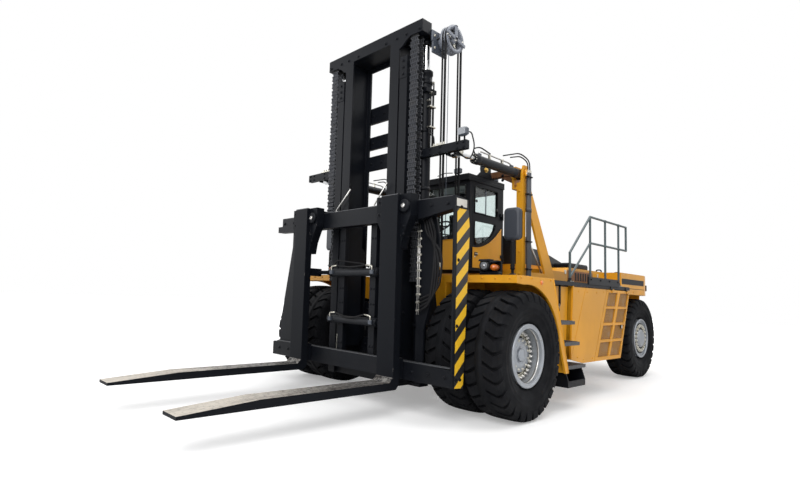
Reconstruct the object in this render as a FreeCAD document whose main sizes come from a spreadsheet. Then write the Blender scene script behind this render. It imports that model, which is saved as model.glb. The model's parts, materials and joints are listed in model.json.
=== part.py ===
"""Heavy counterbalance forklift truck, as a parametric document.

Frame: +Z up, the truck faces -Y, +X is the driver's left. Lengths are millimetres.
Every y below is a station measured rearward from the front axle; the helpers add
axle_station, so that the whole truck is centred on the frame's origin.
"""
import FreeCAD, Part
import os
import re

from FreeCAD import Placement, Rotation, Vector
import Sketcher

SIZES = {
    # stations and overall sizes
    "axle_station": -1626, "wheelbase": 6050, "rear_end": "wheelbase + 1450",
    # tyres, rims and hubs
    "tyre_radius": 835, "tyre_width": 500, "twin_pitch": 580, "bead_radius": 395,
    "front_outer_face": 2205, "rear_outer_face": 1550, "rim_wall": 45,
    "disc_thickness": 28, "disc_inset": 25, "outer_disc": -28, "cap_length": 95, "hub_radius": 215, "hub_bore": 120,
    "rear_disc": 178, "rear_bore": 90, "running_gap": 0.05,
    # chassis
    "rail_outer": 560, "rail_plate": 60, "rail_bottom": 540, "rail_top": 1640,
    "rail_front": -240, "rail_rear": "wheelbase - 1100", "spine_half": 290, "spine_bottom": 1230,
    "deck_under": 1800, "deck_top": 1860, "deck_front": 730, "deck_rear": 4300,
    "axle_tube": 210, "brake_radius": 290, "shaft_radius": 55,
    # mast
    "mast_front": -850, "mast_rear": -400, "outer_rear": -330, "outer_in": 600,
    "outer_out": 740, "inner_in": 400, "inner_out": 575, "web": 32, "flange": 32,
    "outer_bottom": 300, "outer_top": 5030, "inner_bottom": 560, "inner_top": 5300,
    "beam_half": 1000, "beam_top": 5480, "beam_rear": -640, "beam_pad_rear": -480,
    "pivot_station": -300, "pivot_height": 620, "pivot_pin": 45, "pivot_boss": 82,
    "inner_gap": 6, "lift_x": "outer_out + 15 + lift_barrel", "lift_station": -560, "lift_barrel": 93, "lift_bore": 72,
    "lift_rod": 56, "lift_foot": 340, "gland_bottom": 4600, "gland_top": 4800, "rod_foot": 2300,
    "pulley_x": 1120, "pulley_station": -390, "pulley_height": 5250, "groove_radius": 168,
    "hose_radius": 17, "chain_x": 855, "chain_width": 150, "chain_thick": 36, "chain_back": -722,
    "crosshead_z": 3565, "crosshead_height": 120, "crosshead_reach": 1640, "arm_front": -690,
    # carriage and forks
    "carriage_front": -1137, "carriage_back": -990, "carriage_half": 1780,
    "carriage_tail": 1880, "carriage_step": 1760,
    "upper_bottom": 2545, "upper_step": 2655, "upper_top": 2790,
    "lower_bottom": 455, "lower_top": 695, "end_plate": 25,
    "roller_play": 0.5, "seat": 0.3, "fork_x": 940, "fork_width": 290,
    "fork_tip": -4248, "fork_face": -1367, "shank_thick": 120, "fork_under": 346,
    "blade_thick": 95, "tip_thick": 35, "shank_top": 2860,
    "ram_radius": 58, "ram_bore": 42, "ram_rod": 30, "ram_station": -1062,
    "upper_ram_z": 1857, "lower_ram_z": 1150, "ram_half": 500, "ram_lug": 848, "hook_half": 300,
    # tilt towers and cylinders
    "tower_in": 1260, "tower_out": 1440, "tower_plate": 35, "tower_top": 3680,
    "tower_front": 1160, "tower_foot": 2300, "post_in": 1340, "head_under": 3300, "crossbeam_under": 3580,
    "tilt_x": 1350, "tilt_pin_y": 1260, "tilt_pin_z": 3545, "tilt_pin": 42,
    "tilt_barrel": 68, "tilt_bore": 48, "tilt_rod": 30, "tilt_reach": 1310, "tilt_gland": 90,
    "mast_pin_y": -500, "eye_half": 42, "eye_radius": 80, "eye_play": 18, "mast_pin": 35,
    # cab
    "cab_half": 780, "cab_front": 720, "cab_rear": 1735, "cab_floor": 1990, "cab_roof": 3450,
    "roof_thick": 105, "post": 75, "wall": 45, "glass": 8, "sill": 2500, "mid_rail": 2810,
    "window_sill": 2930, "window_top": 3380, "door_hinge_x": 804, "door_hinge_y": 1682, "hinge_pin": 6,
    # fenders, steps and side panels
    "fender_in": 1080, "fender_out": 2150, "fender_front": -285, "fender_rear": 705,
    "fender_edge": "2 * tyre_radius + 87", "skirt_station": 1170, "skirt_bottom": 530, "arch_radius": "tyre_radius + 80",
    "skin": 30, "eye_x": 796, "eye_station": -185, "panel_x": 1900, "panel_bottom": 580, "grille_hinge_x": 1912, "grille_hinge_z": 1790, "panel_top": 1797,
    # hood, counterweight and handrails
    "hood_half": 1235, "dome_half": 900, "hood_top": 2180, "hood_front": 2750, "hood_rear": "wheelbase - 1150",
    "weight_front": "wheelbase - 1135", "weight_half": 1540, "weight_under": "2 * tyre_radius + 80",
    "weight_lower": "wheelbase + 1090", "tow_bore": 30.3,
    "handrail_x": 1800, "handrail_top": 3020, "handrail_mid": 2567, "tube": 19,
    # rear axle
    "kingpin_x": 900, "kingpin": 50, "knuckle_half": 165, "steer_beam_half": 740,
}

doc = FreeCAD.newDocument("HeavyForklift")
sheet = doc.addObject("Spreadsheet::Sheet", "Sizes")
for row, (alias, value) in enumerate(SIZES.items(), start=1):
    sheet.set(f"A{row}", alias)
    sheet.set(f"B{row}", f"={value}")
    sheet.setAlias(f"B{row}", alias)
doc.recompute()

NODES = {}

# sketch axes of each drawing plane, with the direction in which its profile is pushed
PLANES = {
    "side": (Vector(0, 1, 0), Vector(0, 0, 1), Vector(1, 0, 0)),
    "front": (Vector(1, 0, 0), Vector(0, 0, 1), Vector(0, 1, 0)),
    "top": (Vector(1, 0, 0), Vector(0, 1, 0), Vector(0, 0, 1)),
}
ALONG = {
    "x": Rotation(Vector(0, 1, 0), 90),
    "y": Rotation(Vector(1, 0, 0), -90),
    "z": Rotation(),
}


def link(expression):
    """Write each size's alias inside an expression as a reference to the sheet."""
    def refer(match):
        word = match.group()
        return f"Sizes.{word}" if word in SIZES else word
    return re.sub(r"[a-z]+(?:_[a-z]+)*", refer, str(expression))


def bind(item, **sizes):
    """Bind properties of an object to expressions; two underscores stand for a dot."""
    for name, expression in sizes.items():
        item.setExpression(name.replace("__", "."), link(expression))


def place(item, x, y, z, rotation=Rotation()):
    """Turn an object, then bind its base point; y is a station behind the front axle."""
    item.Placement = Placement(Vector(), rotation)
    bind(item, Placement__Base__x=x, Placement__Base__y=f"axle_station + ({y})", Placement__Base__z=z)
    return item


def box(x, y, z):
    """A block between two x, two y and two z expressions."""
    item = doc.addObject("Part::Box", "Block")
    bind(item, Length=f"({x[1]}) - ({x[0]})", Width=f"({y[1]}) - ({y[0]})", Height=f"({z[1]}) - ({z[0]})")
    return place(item, x[0], y[0], z[0])


def rod(axis, start, length, radius):
    """A cylinder that runs from its start point along +x, +y or +z."""
    item = doc.addObject("Part::Cylinder", "Rod")
    bind(item, Radius=radius, Height=length)
    return place(item, *start, ALONG[axis])


def slanted(x, start, end, radius):
    """A round bar in a plane of constant x, between two (station, height) points."""
    along, rise = f"(({end[0]}) - ({start[0]}))", f"(({end[1]}) - ({start[1]}))"
    item = doc.addObject("Part::Cylinder", "Slanted")
    bind(item, Radius=radius, Height=f"sqrt({along} * {along} + {rise} * {rise})")
    place(item, x, *start, Rotation(Vector(-1, 0, 0), 45))
    bind(item, Placement__Rotation__Angle=f"atan2({along}; {rise})")
    return item


def ball(x, y, z, radius):
    """A sphere, used where two tubes meet in a bend."""
    item = doc.addObject("Part::Sphere", "Ball")
    bind(item, Radius=radius)
    return place(item, x, y, z)


def outline(sketch, points):
    """Draw a closed polygon whose corners are bound to expressions."""
    count = len(points)
    for index in range(count):
        here = Vector(index * 10.0, (index * index) % 7 * 10.0, 0)
        there_index = (index + 1) % count
        there = Vector(there_index * 10.0, (there_index * there_index) % 7 * 10.0, 0)
        sketch.addGeometry(Part.LineSegment(here, there), False)
    for index in range(count):
        sketch.addConstraint(Sketcher.Constraint("Coincident", index, 2, (index + 1) % count, 1))
    for index, (across, up) in enumerate(points):
        for kind, expression in (("DistanceX", across), ("DistanceY", up)):
            number = sketch.addConstraint(Sketcher.Constraint(kind, -1, 1, index, 1, 10.0))
            sketch.setExpression(f"Constraints[{number}]", link(expression))


def prism(plane, points, low, high):
    """A flat profile pushed from one coordinate to another, square to its plane."""
    across, up, push = PLANES[plane]
    sketch = doc.addObject("Sketcher::SketchObject", "Profile")
    base = {"side": (low, 0, 0), "front": (0, low, 0), "top": (0, 0, low)}[plane]
    place(sketch, *base, Rotation(across, up, across.cross(up), "XYZ"))
    outline(sketch, points)
    item = doc.addObject("Part::Extrusion", "Prism")
    item.Base = sketch
    item.DirMode = "Custom"
    item.Dir = push
    item.Solid = True
    bind(item, LengthFwd=f"({high}) - ({low})")
    return item


def lathe(points, x, y, z):
    """A profile of (distance along x, radius) turned about an axle along x."""
    body = doc.addObject("PartDesign::Body", "Turned")
    sketch = body.newObject("Sketcher::SketchObject", "Section")
    plane = next(part for part in body.Origin.OriginFeatures if part.Role == "XZ_Plane")
    sketch.AttachmentSupport = (plane, [""])
    sketch.MapMode = "FlatFace"
    outline(sketch, points)
    turn = body.newObject("PartDesign::Revolution", "Turn")
    turn.Profile = sketch
    turn.ReferenceAxis = (sketch, ["H_Axis"])
    turn.Angle = 360
    return place(body, x, y, z)


def fuse(items):
    """One object out of several; a single one is passed through."""
    if len(items) == 1:
        return items[0]
    item = doc.addObject("Part::MultiFuse", "Joined")
    item.Shapes = items
    return item


def cut(base, tools):
    """Take the tools away from the base pieces."""
    item = doc.addObject("Part::Cut", "Trimmed")
    item.Base = fuse(base)
    item.Tool = fuse(tools)
    return item


def mirrored(source):
    """The same object on the other side of the truck's centre plane."""
    item = doc.addObject("Part::Mirroring", "Mirrored")
    item.Source = source
    item.Normal = Vector(1, 0, 0)
    return item


def both(items):
    """The given objects with their mirror images."""
    return items + [mirrored(item) for item in items]


def node(name, items):
    """Name the finished object of one sub-part."""
    item = fuse(items)
    item.Label = name
    NODES[name] = item
    return item


def pair(name, items):
    """A sub-part on the driver's left and its mirror image on the right."""
    left = node(f"{name}_left", items)
    return left, node(f"{name}_right", [mirrored(left)])


# ---------------------------------------------------------------- wheels

def tyre_section(width, radius, bead):
    """Half section of a tyre, from its inner face outward."""
    shoulder = f"({radius}) - ({bead})"
    return [
        (f"-({width}) * 0.40", bead), (f"({width}) * 0.40", bead),
        (f"({width}) * 0.47", f"({bead}) + ({shoulder}) * 0.22"),
        (f"({width}) * 0.50", f"({bead}) + ({shoulder}) * 0.48"),
        (f"({width}) * 0.49", f"({bead}) + ({shoulder}) * 0.78"),
        (f"({width}) * 0.43", f"({radius}) - 18"), (f"({width}) * 0.36", radius),
        (f"-({width}) * 0.36", radius), (f"-({width}) * 0.43", f"({radius}) - 18"),
        (f"-({width}) * 0.49", f"({bead}) + ({shoulder}) * 0.78"),
        (f"-({width}) * 0.50", f"({bead}) + ({shoulder}) * 0.48"),
        (f"-({width}) * 0.47", f"({bead}) + ({shoulder}) * 0.22"),
    ]


def rim_section(disc, bore):
    """Section of a rim: the bead tube and a wheel disc, from x = disc outward."""
    tube, seat = "bead_radius - rim_wall", "bead_radius"
    return [
        ("-tyre_width * 0.42", seat), ("-tyre_width * 0.42", tube), (disc, tube), (disc, bore),
        (f"({disc}) + disc_thickness", bore), (f"({disc}) + disc_thickness", tube),
        ("tyre_width * 0.42", tube), ("tyre_width * 0.42", seat),
    ]


TYRE = tyre_section("tyre_width", "tyre_radius", "bead_radius")
OUTER_X = "front_outer_face - tyre_width / 2"
INNER_X = "front_outer_face - tyre_width / 2 - twin_pitch"
REAR_X = "rear_outer_face - tyre_width / 2"
INNER_DISC = "tyre_width * 0.4 - disc_inset - disc_thickness"
OUTER_DISC = "outer_disc"


def build_wheels():
    """Twin wheels at the front, single steered wheels at the rear, on both sides."""
    pair("front_tyres", [lathe(TYRE, x, 0, "tyre_radius") for x in (OUTER_X, INNER_X)])
    pair("rear_tyre", [lathe(TYRE, REAR_X, "wheelbase", "tyre_radius")])
    drum = f"({OUTER_X} + {OUTER_DISC}) - ({INNER_X} + {INNER_DISC} + disc_thickness)"
    cap = [
        (0, 0), ("cap_length", 0), ("cap_length", "hub_radius - 70"), ("cap_length - 8", "hub_radius - 38"),
        ("cap_length - 26", "hub_radius - 10"), ("cap_length - 45", "hub_radius"), (0, "hub_radius"),
    ]
    pair("front_rims", [
        lathe(rim_section(OUTER_DISC, "hub_bore"), OUTER_X, 0, "tyre_radius"),
        lathe(rim_section(INNER_DISC, "hub_bore"), INNER_X, 0, "tyre_radius"),
        lathe([
            (0, "bead_radius - rim_wall - 20"), (0, "hub_bore"), (drum, "hub_bore"),
            (drum, "bead_radius - rim_wall - 20"),
        ], f"{INNER_X} + {INNER_DISC} + disc_thickness", 0, "tyre_radius"),
        lathe(cap, f"{OUTER_X} + {OUTER_DISC} + disc_thickness", 0, "tyre_radius"),
    ])
    pair("rear_rim", [
        lathe(rim_section("rear_disc", "rear_bore"), REAR_X, "wheelbase", "tyre_radius"),
        lathe([
            (-170, "rear_bore"), (-170, "hub_radius - 25"), ("disc_thickness + 10", "hub_radius - 25"),
            ("disc_thickness + 42", "hub_radius - 60"), ("disc_thickness + 42", 0),
            ("disc_thickness - 4", 0), ("disc_thickness - 4", "rear_bore"),
        ], f"{REAR_X} + rear_disc", "wheelbase", "tyre_radius"),
    ])


# ---------------------------------------------------------------- chassis and axles

def build_chassis():
    """Main frame: two deep rails, cross plates, the mast lugs and the rear spine."""
    rail = prism("side", [
        ("rail_front", "rail_bottom"), ("rail_rear - 300", "rail_bottom"),
        ("rail_rear", "rail_bottom + 350"), ("rail_rear", "rail_top"),
        ("rail_front + 140", "rail_top"), ("rail_front", "rail_bottom + 260"),
    ], "rail_outer - rail_plate", "rail_outer")
    lug = prism("side", [
        ("pivot_station - 78", "pivot_height - 40"), ("pivot_station - 30", "pivot_height - 78"),
        ("rail_front + 60", "pivot_height - 80"), ("rail_front + 60", "pivot_height + 170"),
        ("pivot_station - 10", "pivot_height + 100"), ("pivot_station - 78", "pivot_height + 30"),
    ], "rail_outer - 110", "rail_outer")
    pin = rod("x", ("rail_outer - 100", "pivot_station", "pivot_height"), "outer_in - rail_outer + 176",
              "pivot_pin")
    width = ("-rail_outer + 20", "rail_outer - 20")
    plates = [
        box(width, (start, f"{start} + 40"), ("rail_bottom + 60", "rail_top - 20"))
        for start in ("1040", "rail_rear - 60")
    ] + [box(width, ("rail_front + 160", "rail_front + 200"), ("tyre_radius + 345", "rail_top - 20"))]
    floor = box(width, (560, "rail_rear - 320"), ("rail_bottom + 20", "rail_bottom + 50"))
    roof = box(width, ("rail_front + 150", 2650), ("rail_top - 60", "rail_top - 20"))
    spine = box(("-spine_half", "spine_half"), ("rail_rear - 40", "weight_lower"),
                ("spine_bottom", "rail_top"))
    outriggers = [
        box(("rail_outer - 20", reach), (start, f"{start} + 90"), ("rail_top - 150", "deck_under"))
        for start, reach in ((1200, "tower_out"), (2450, "tower_out"), (3300, 1700), (3880, 1240))
    ]
    mounts = [
        box(("rail_outer - 90", "rail_outer"), (start, f"{start} + 120"), ("rail_top - 30", "deck_under"))
        for start in ("cab_front + 60", "cab_rear - 180", "rail_rear - 260")
    ]
    axle_hole = rod("x", ("-rail_outer - 20", 0, "tyre_radius"), "2 * rail_outer + 40", "axle_tube + seat")
    shaft_hole = rod("y", (0, 1000, "tyre_radius"), 120, "shaft_radius + 35")
    node("chassis_frame", [
        cut(both([rail, lug] + outriggers + mounts) + plates + [floor, roof, spine], [axle_hole, shaft_hole]),
        *both([pin]),
    ])


def build_axles():
    """Drive axle with its brake drums and spindles, and the steered rear axle."""
    spindle_end = f"{OUTER_X} + {OUTER_DISC} + disc_thickness - 8"
    node("drive_axle", both([
        rod("x", (0, 0, "tyre_radius"), f"{INNER_X} + {INNER_DISC} - 22", "axle_tube"),
        rod("x", (f"{INNER_X} - tyre_width / 2 + 60", 0, "tyre_radius"),
            f"tyre_width / 2 - 60 + {INNER_DISC} - 45", "brake_radius"),
        rod("x", (0, 0, "tyre_radius"), spindle_end, "hub_bore - running_gap"),
    ]) + [
        lathe([(-230, 0), (-230, 210), (-110, 300), (110, 300), (230, 210), (230, 0)], 0, 0, "tyre_radius"),
        rod("y", (0, 0, "tyre_radius"), 560, 150),
    ])
    beam = box(("-steer_beam_half", "steer_beam_half"), ("wheelbase - 170", "wheelbase + 170"),
               ("tyre_radius - 140", "tyre_radius + 140"))
    yokes = [
        box(("steer_beam_half - 200", "kingpin_x + 85"), ("wheelbase - 95", "wheelbase + 95"), heights)
        for heights in (("tyre_radius - knuckle_half - 65", "tyre_radius - knuckle_half - 6"),
                        ("tyre_radius + knuckle_half + 6", "tyre_radius + knuckle_half + 65"))
    ]
    gussets = [
        box(("steer_beam_half - 200", "steer_beam_half - 20"), ("wheelbase - 95", "wheelbase + 95"), heights)
        for heights in (("tyre_radius - knuckle_half - 20", "tyre_radius - 130"),
                        ("tyre_radius + 130", "tyre_radius + knuckle_half + 20"))
    ]
    pin = rod("z", ("kingpin_x", "wheelbase", "tyre_radius - knuckle_half - 60"),
              "2 * knuckle_half + 120", "kingpin - running_gap")
    cradle = box(("-spine_half + 60", "spine_half - 60"), ("wheelbase - 260", "wheelbase + 260"),
                 ("tyre_radius + 130", "spine_bottom"))
    ram = rod("x", ("-420", "wheelbase - 225", "tyre_radius"), 840, 62)
    ram_saddles = [
        box((start, f"{start} + 60"), ("wheelbase - 225", "wheelbase - 150"), ("tyre_radius - 55", "tyre_radius + 55"))
        for start in ("-330", "270")
    ]
    node("steer_axle", both(yokes + gussets + [pin]) + [beam, cradle, ram] + ram_saddles)
    knuckle = rod("z", ("kingpin_x", "wheelbase", "tyre_radius - knuckle_half"), "2 * knuckle_half", 105)
    stub = rod("x", ("kingpin_x", "wheelbase", "tyre_radius"),
               f"{REAR_X} + rear_disc + disc_thickness - 12 - kingpin_x", "rear_bore - running_gap")
    collar = rod("x", ("kingpin_x", "wheelbase", "tyre_radius"), 190, 125)
    arm = box(("kingpin_x - 30", "kingpin_x + 30"), ("wheelbase - 165", "wheelbase - 60"),
              ("tyre_radius - 150", "tyre_radius - 105"))
    pair("steer_knuckle", [cut([knuckle, stub, collar, arm], [
        rod("z", ("kingpin_x", "wheelbase", "tyre_radius - knuckle_half - 5"), "2 * knuckle_half + 10", "kingpin"),
    ])])


# ---------------------------------------------------------------- mast

def build_outer_mast():
    """Fixed uprights: two channels that open inward, their cross plates and brackets."""
    height = ("outer_bottom", "outer_top")
    web = box(("outer_out - web", "outer_out"), ("mast_front", "outer_rear"), height)
    front = box(("outer_in", "outer_out"), ("mast_front", "mast_front + flange"), height)
    back = box(("outer_in", "outer_out"), ("mast_rear", "outer_rear"), height)
    levels = ((1180, 1420), (2700, 2980), (3932, 4139), (4372, 4633))
    crosses = [box(("-outer_in - 20", "outer_in + 20"), ("mast_rear + 16", "outer_rear"), level) for level in levels]
    sill = box(("-outer_out", "outer_out"), ("mast_front + 60", "outer_rear"), ("outer_bottom", "outer_bottom + 100"))
    lug = prism("side", [
        ("outer_rear - 20", "pivot_height - 150"), ("outer_rear - 20", "pivot_height + 330"),
        ("pivot_station + 50", "pivot_height + 60"), ("pivot_station + 76", "pivot_height"),
        ("pivot_station + 50", "pivot_height - 62"), ("pivot_station", "pivot_height - 84"),
    ], "outer_in", "outer_in + 70")
    foot = box(("outer_out - 10", "lift_x + lift_barrel"), ("lift_station - 95", "lift_station + 95"),
               ("lift_foot - 40", "lift_foot"))
    collars = [
        box(("outer_out - 10", "lift_x + lift_barrel + 20"), ("lift_station - 115", "lift_station + 115"),
            (level, level + 60))
        for level in (2000, 4480)
    ]
    bore = rod("z", ("lift_x", "lift_station", 1900), 2800, "lift_barrel + 1")
    head = ("crosshead_z - crosshead_height / 2", "crosshead_z + crosshead_height / 2")
    plate = box(("outer_out - 10", "crosshead_reach"), ("arm_front", "arm_front + 35"), head)
    crosshead = box(("lift_x + lift_barrel + 25", "crosshead_reach"), ("arm_front", "arm_front + 80"), head)
    clevis = [
        box((start, f"{start} + 26"), ("arm_front + 70", "mast_pin_y + 62"), ("tilt_pin_z - 55", "tilt_pin_z + 68"))
        for start in ("tilt_x - eye_half - 36", "tilt_x + eye_half + 10")
    ]
    hinge_pin = rod("x", ("tilt_x - eye_half - 46", "mast_pin_y", "tilt_pin_z"), "2 * eye_half + 92", "mast_pin")
    pivot_hole = rod("x", ("outer_in - 10", "pivot_station", "pivot_height"), 96, "pivot_pin + running_gap")
    node("outer_mast", [
        cut(both([web, front, back, lug, foot, plate, crosshead, hinge_pin] + collars + clevis) + crosses + [sill],
            both([bore, pivot_hole])),
    ])


def build_inner_mast():
    """Lifting uprights, their cross plates and the top beam that the rods push up."""
    height = ("inner_bottom", "inner_top + 20")
    middle = "(inner_in + inner_out) / 2"
    web = box((f"{middle} - web / 2", f"{middle} + web / 2"), ("mast_front + 8", "mast_rear - inner_gap - 4"), height)
    front = box(("inner_in", "inner_out"), ("mast_front", "mast_front + flange"), height)
    rear = ("mast_rear - flange - inner_gap", "mast_rear - inner_gap")
    back = box(("inner_in", "inner_out"), rear, height)
    track_front, track_rear = "mast_front + flange", "mast_rear"
    roller = rod("x", (middle, f"(({track_front}) + ({track_rear})) / 2", "inner_bottom + 240"), "195",
                 f"(({track_rear}) - ({track_front})) / 2 - roller_play")
    crosses = [
        box(("-inner_in - 20", "inner_in + 20"), rear, level)
        for level in ((640, 860), (3552, 3790), (5230, 5320))
    ]
    beam = box(("-beam_half", "beam_half"), ("mast_front", "beam_rear"), ("inner_top", "beam_top"))
    back_beam = box(("-inner_out", "inner_out"), ("beam_rear - 20", "mast_rear - inner_gap"), ("inner_top", "beam_top - 90"))
    pads = box(("lift_x - 110", "beam_half"), ("beam_rear - 20", "beam_pad_rear"), ("inner_top", "inner_top + 90"))
    gusset = prism("front", [
        ("inner_out - 20", "outer_top + 145"), ("inner_out + 22", "outer_top + 145"),
        ("inner_out + 62", "inner_top - 100"),
        ("inner_out + 130", "inner_top - 40"), ("chain_x - chain_width / 2 - 12", "inner_top - 10"),
        ("chain_x - chain_width / 2 - 12", "inner_top + 10"), ("inner_out - 20", "inner_top + 10"),
    ], "mast_front", "mast_front + flange")
    node("inner_mast", both([web, front, back, pads, gusset, roller]) + crosses + [beam, back_beam])


def build_lift_cylinders():
    """Lift barrels beside the outer mast, and their rods under the top beam."""
    barrel = rod("z", ("lift_x", "lift_station", "lift_foot"), "gland_top - lift_foot", "lift_barrel")
    bore = rod("z", ("lift_x", "lift_station", "lift_foot + 60"), "gland_bottom - lift_foot - 60", "lift_bore")
    gland = rod("z", ("lift_x", "lift_station", "lift_foot + 60"), "gland_top - lift_foot", "lift_rod + running_gap")
    node("lift_cylinders", both([cut([barrel], [bore, gland])]))
    node("lift_rods", both([
        rod("z", ("lift_x", "lift_station", "rod_foot"), "inner_top - rod_foot", "lift_rod"),
        rod("z", ("lift_x", "lift_station", "rod_foot"), 60, "lift_bore - 4"),
    ]))


def build_lift_chains():
    """Leaf chains: a front run to the carriage and a back run to the outer mast."""
    x = ("chain_x - chain_width / 2", "chain_x + chain_width / 2")
    front = box(x, ("mast_front", "mast_front + chain_thick"), ("upper_top - 200", "inner_top"))
    back = box(x, ("chain_back - chain_thick / 2", "chain_back + chain_thick / 2"), (1750, "inner_top"))
    node("lift_chains", both([front, back]))


def build_hose_reel():
    """Hose pulley beside the mast head and the hoses that hang over it."""
    centre = ("pulley_station", "pulley_height")
    pulley = lathe([
        (0, 30), (0, 205), (8, 205), (14, "groove_radius"), (50, "groove_radius"), (54, 200), (58, 200),
        (62, "groove_radius"), (98, "groove_radius"), (104, 205), (112, 205), (112, 30),
    ], "pulley_x", *centre)
    drum = lathe([(0, 30), (0, 150), (60, 150), (60, 30)], "pulley_x - 84", *centre)
    arm = box(("beam_half", "beam_half + 30"), ("beam_rear - 20", "pulley_station + 40"),
              ("pulley_height - 40", "inner_top + 80"))
    shaft = rod("x", ("beam_half + 5", *centre), "pulley_x - beam_half + 135", 31)
    bar = box(("pulley_x + 116", "pulley_x + 136"), ("pulley_station - 230", "pulley_station + 220"),
              ("pulley_height - 25", "pulley_height + 25"))
    hang = "groove_radius + hose_radius + seat"
    hoses = [
        rod("z", (f"pulley_x + {across}", f"pulley_station {side} ({hang})", foot),
            f"pulley_height - {foot}", "hose_radius")
        for across in (32, 80) for side, foot in (("-", 1950), ("+", 2150))
    ]
    node("hose_pulley", [pulley, drum, arm, shaft, bar])
    node("mast_hoses", hoses)


# ---------------------------------------------------------------- carriage and forks

def build_carriage():
    """Fork carriage: two wide beams, columns with mast rollers, striped end plates."""
    depth = ("carriage_front", "carriage_back")
    upper = prism("front", [
        ("-carriage_tail", "upper_bottom + 10"), (-1300, "upper_bottom"), (1300, "upper_bottom"),
        ("carriage_half", "upper_bottom + 80"), ("carriage_half", "upper_top"), ("-carriage_step", "upper_top"),
        ("-carriage_step", "upper_step"), ("-carriage_tail", "upper_step"),
    ], *depth)
    lower = prism("front", [
        ("-carriage_tail", "lower_bottom"), ("carriage_half", "lower_bottom + 10"),
        ("carriage_half", "lower_top - 20"), (1300, "lower_top"), (-1300, "lower_top"),
        ("-carriage_tail", "lower_top - 20"),
    ], *depth)
    far_side = prism("front", [
        (-1330, "lower_top - 30"), (-1740, "lower_top - 30"), (-1740, 1030), (-1490, 2290),
        (-1490, "upper_bottom + 30"), (-1330, "upper_bottom + 30"),
    ], "carriage_front + 40", "carriage_back - 20")
    near_side = prism("front", [
        (1130, "lower_top - 30"), (1250, "lower_top - 30"), (1250, 1110), (1400, 1630), (1480, 2070),
        (1480, 2300), (1420, "upper_bottom + 30"), (1130, "upper_bottom + 30"),
    ], "carriage_back - 5", "carriage_back + 29")
    column = box((270, 385), ("ram_station + ram_radius + seat", "carriage_back + 60"),
                 ("lower_bottom + 30", "upper_top - 60"))
    track_front, track_rear = "mast_front + flange", "mast_rear - flange - inner_gap"
    roller_station = f"(({track_front}) + ({track_rear})) / 2"
    roller_plate = box((330, 385), ("carriage_back", f"{roller_station} + 40"), (740, 2600))
    rollers = [
        rod("x", (380, roller_station, level), 78, f"(({track_rear}) - ({track_front})) / 2 - roller_play")
        for level in (930, 2110)
    ]
    anchor = [
        box((start, f"{start} + 15"), ("carriage_back - 20", "mast_front + 60"), ("upper_top - 190", "upper_top - 70"))
        for start in ("chain_x - chain_width / 2 - 23", "chain_x + chain_width / 2 + 8")
    ]
    end_plate = prism("side", [
        (-1135, "lower_bottom + 5"), (-908, "lower_bottom - 10"), (-812, 2400), (-850, "upper_top - 25"),
        (-1000, "upper_top"), (-1135, "upper_top"),
    ], "carriage_half", "carriage_half + end_plate")
    barrels, bores = [], []
    for level, sign in (("upper_ram_z", -1), ("lower_ram_z", 1)):
        barrels.append(rod("x", ("-ram_half", "ram_station", level), "2 * ram_half", "ram_radius"))
        inside = "-ram_half + 60" if sign > 0 else "-ram_half - 5"
        bores.append(rod("x", ("-ram_half + 60", "ram_station", level), "2 * ram_half - 120", "ram_bore"))
        bores.append(rod("x", (inside, "ram_station", level), "2 * ram_half - 55", "ram_rod + running_gap"))
    node("carriage", both([column, roller_plate] + rollers + anchor)
         + [upper, lower, far_side, near_side, end_plate])
    node("fork_cylinders", [cut(barrels, bores)])


def build_fork(name, sign, ram_level):
    """One fork: blade, shank, top hook, slide bracket and the rod that shifts it."""
    centre = f"{sign} * fork_x"
    x = (f"{centre} - fork_width / 2", f"{centre} + fork_width / 2")
    front, back = "fork_face", "fork_face + shank_thick"
    profile = prism("side", [
        ("fork_tip", "fork_under"), ("fork_tip", "fork_under + tip_thick"),
        ("fork_tip + 900", "fork_under + blade_thick"), (f"{front} - 60", "fork_under + blade_thick"),
        (front, "fork_under + blade_thick + 60"), (front, "shank_top"), (back, "shank_top"),
        (back, "fork_under + 60"), (f"{back} - 60", "fork_under"), ("fork_tip + 700", "fork_under"),
    ], *x)
    inset = (f"{x[0]} + 25", f"{x[1]} - 25")
    hook = prism("side", [
        (f"{back} - 20", "shank_top"), ("carriage_back + 70", "shank_top"),
        ("carriage_back + 70", "upper_top - 50"), ("carriage_back + 12", "upper_top - 50"),
        ("carriage_back + 12", "upper_top + 10"), ("carriage_front - 10", "upper_top + 10"),
        ("carriage_front - 10", "upper_bottom - 40"), (f"{back} - 20", "upper_bottom - 40"),
    ], *inset)
    cheek = prism("front", [
        (f"{centre} - hook_half", "upper_top + 75"), (f"{centre} + hook_half", "upper_top + 75"),
        (f"{centre} + hook_half", "upper_bottom + 30"), (f"{centre} + hook_half - 60", "upper_bottom - 90"),
        (f"{centre} + 175", "upper_bottom - 230"), (f"{centre} + 140", "upper_bottom - 400"),
        (f"{centre} - 140", "upper_bottom - 400"), (f"{centre} - 175", "upper_bottom - 230"),
        (f"{centre} - hook_half + 60", "upper_bottom - 90"), (f"{centre} - hook_half", "upper_bottom + 30"),
    ], f"{back} - 45", "carriage_front - 10")
    heel_pad = box(inset, (f"{back} - 20", "carriage_front - 10"), ("lower_bottom + 20", "lower_top + 40"))
    lug_x = (f"{sign} * ram_lug - 30", f"{sign} * ram_lug + 30")
    lug = box(lug_x, (f"{back} - 20", "ram_station + 60"), (f"{ram_level} - 60", f"{ram_level} + 60"))
    inner = "-ram_lug" if sign < 0 else "-120"
    slider = rod("x", (inner, "ram_station", ram_level), "ram_lug + 120", "ram_rod")
    node(name, [profile, hook, cheek, heel_pad, lug, slider])


# ---------------------------------------------------------------- tilt cylinders and towers

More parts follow.
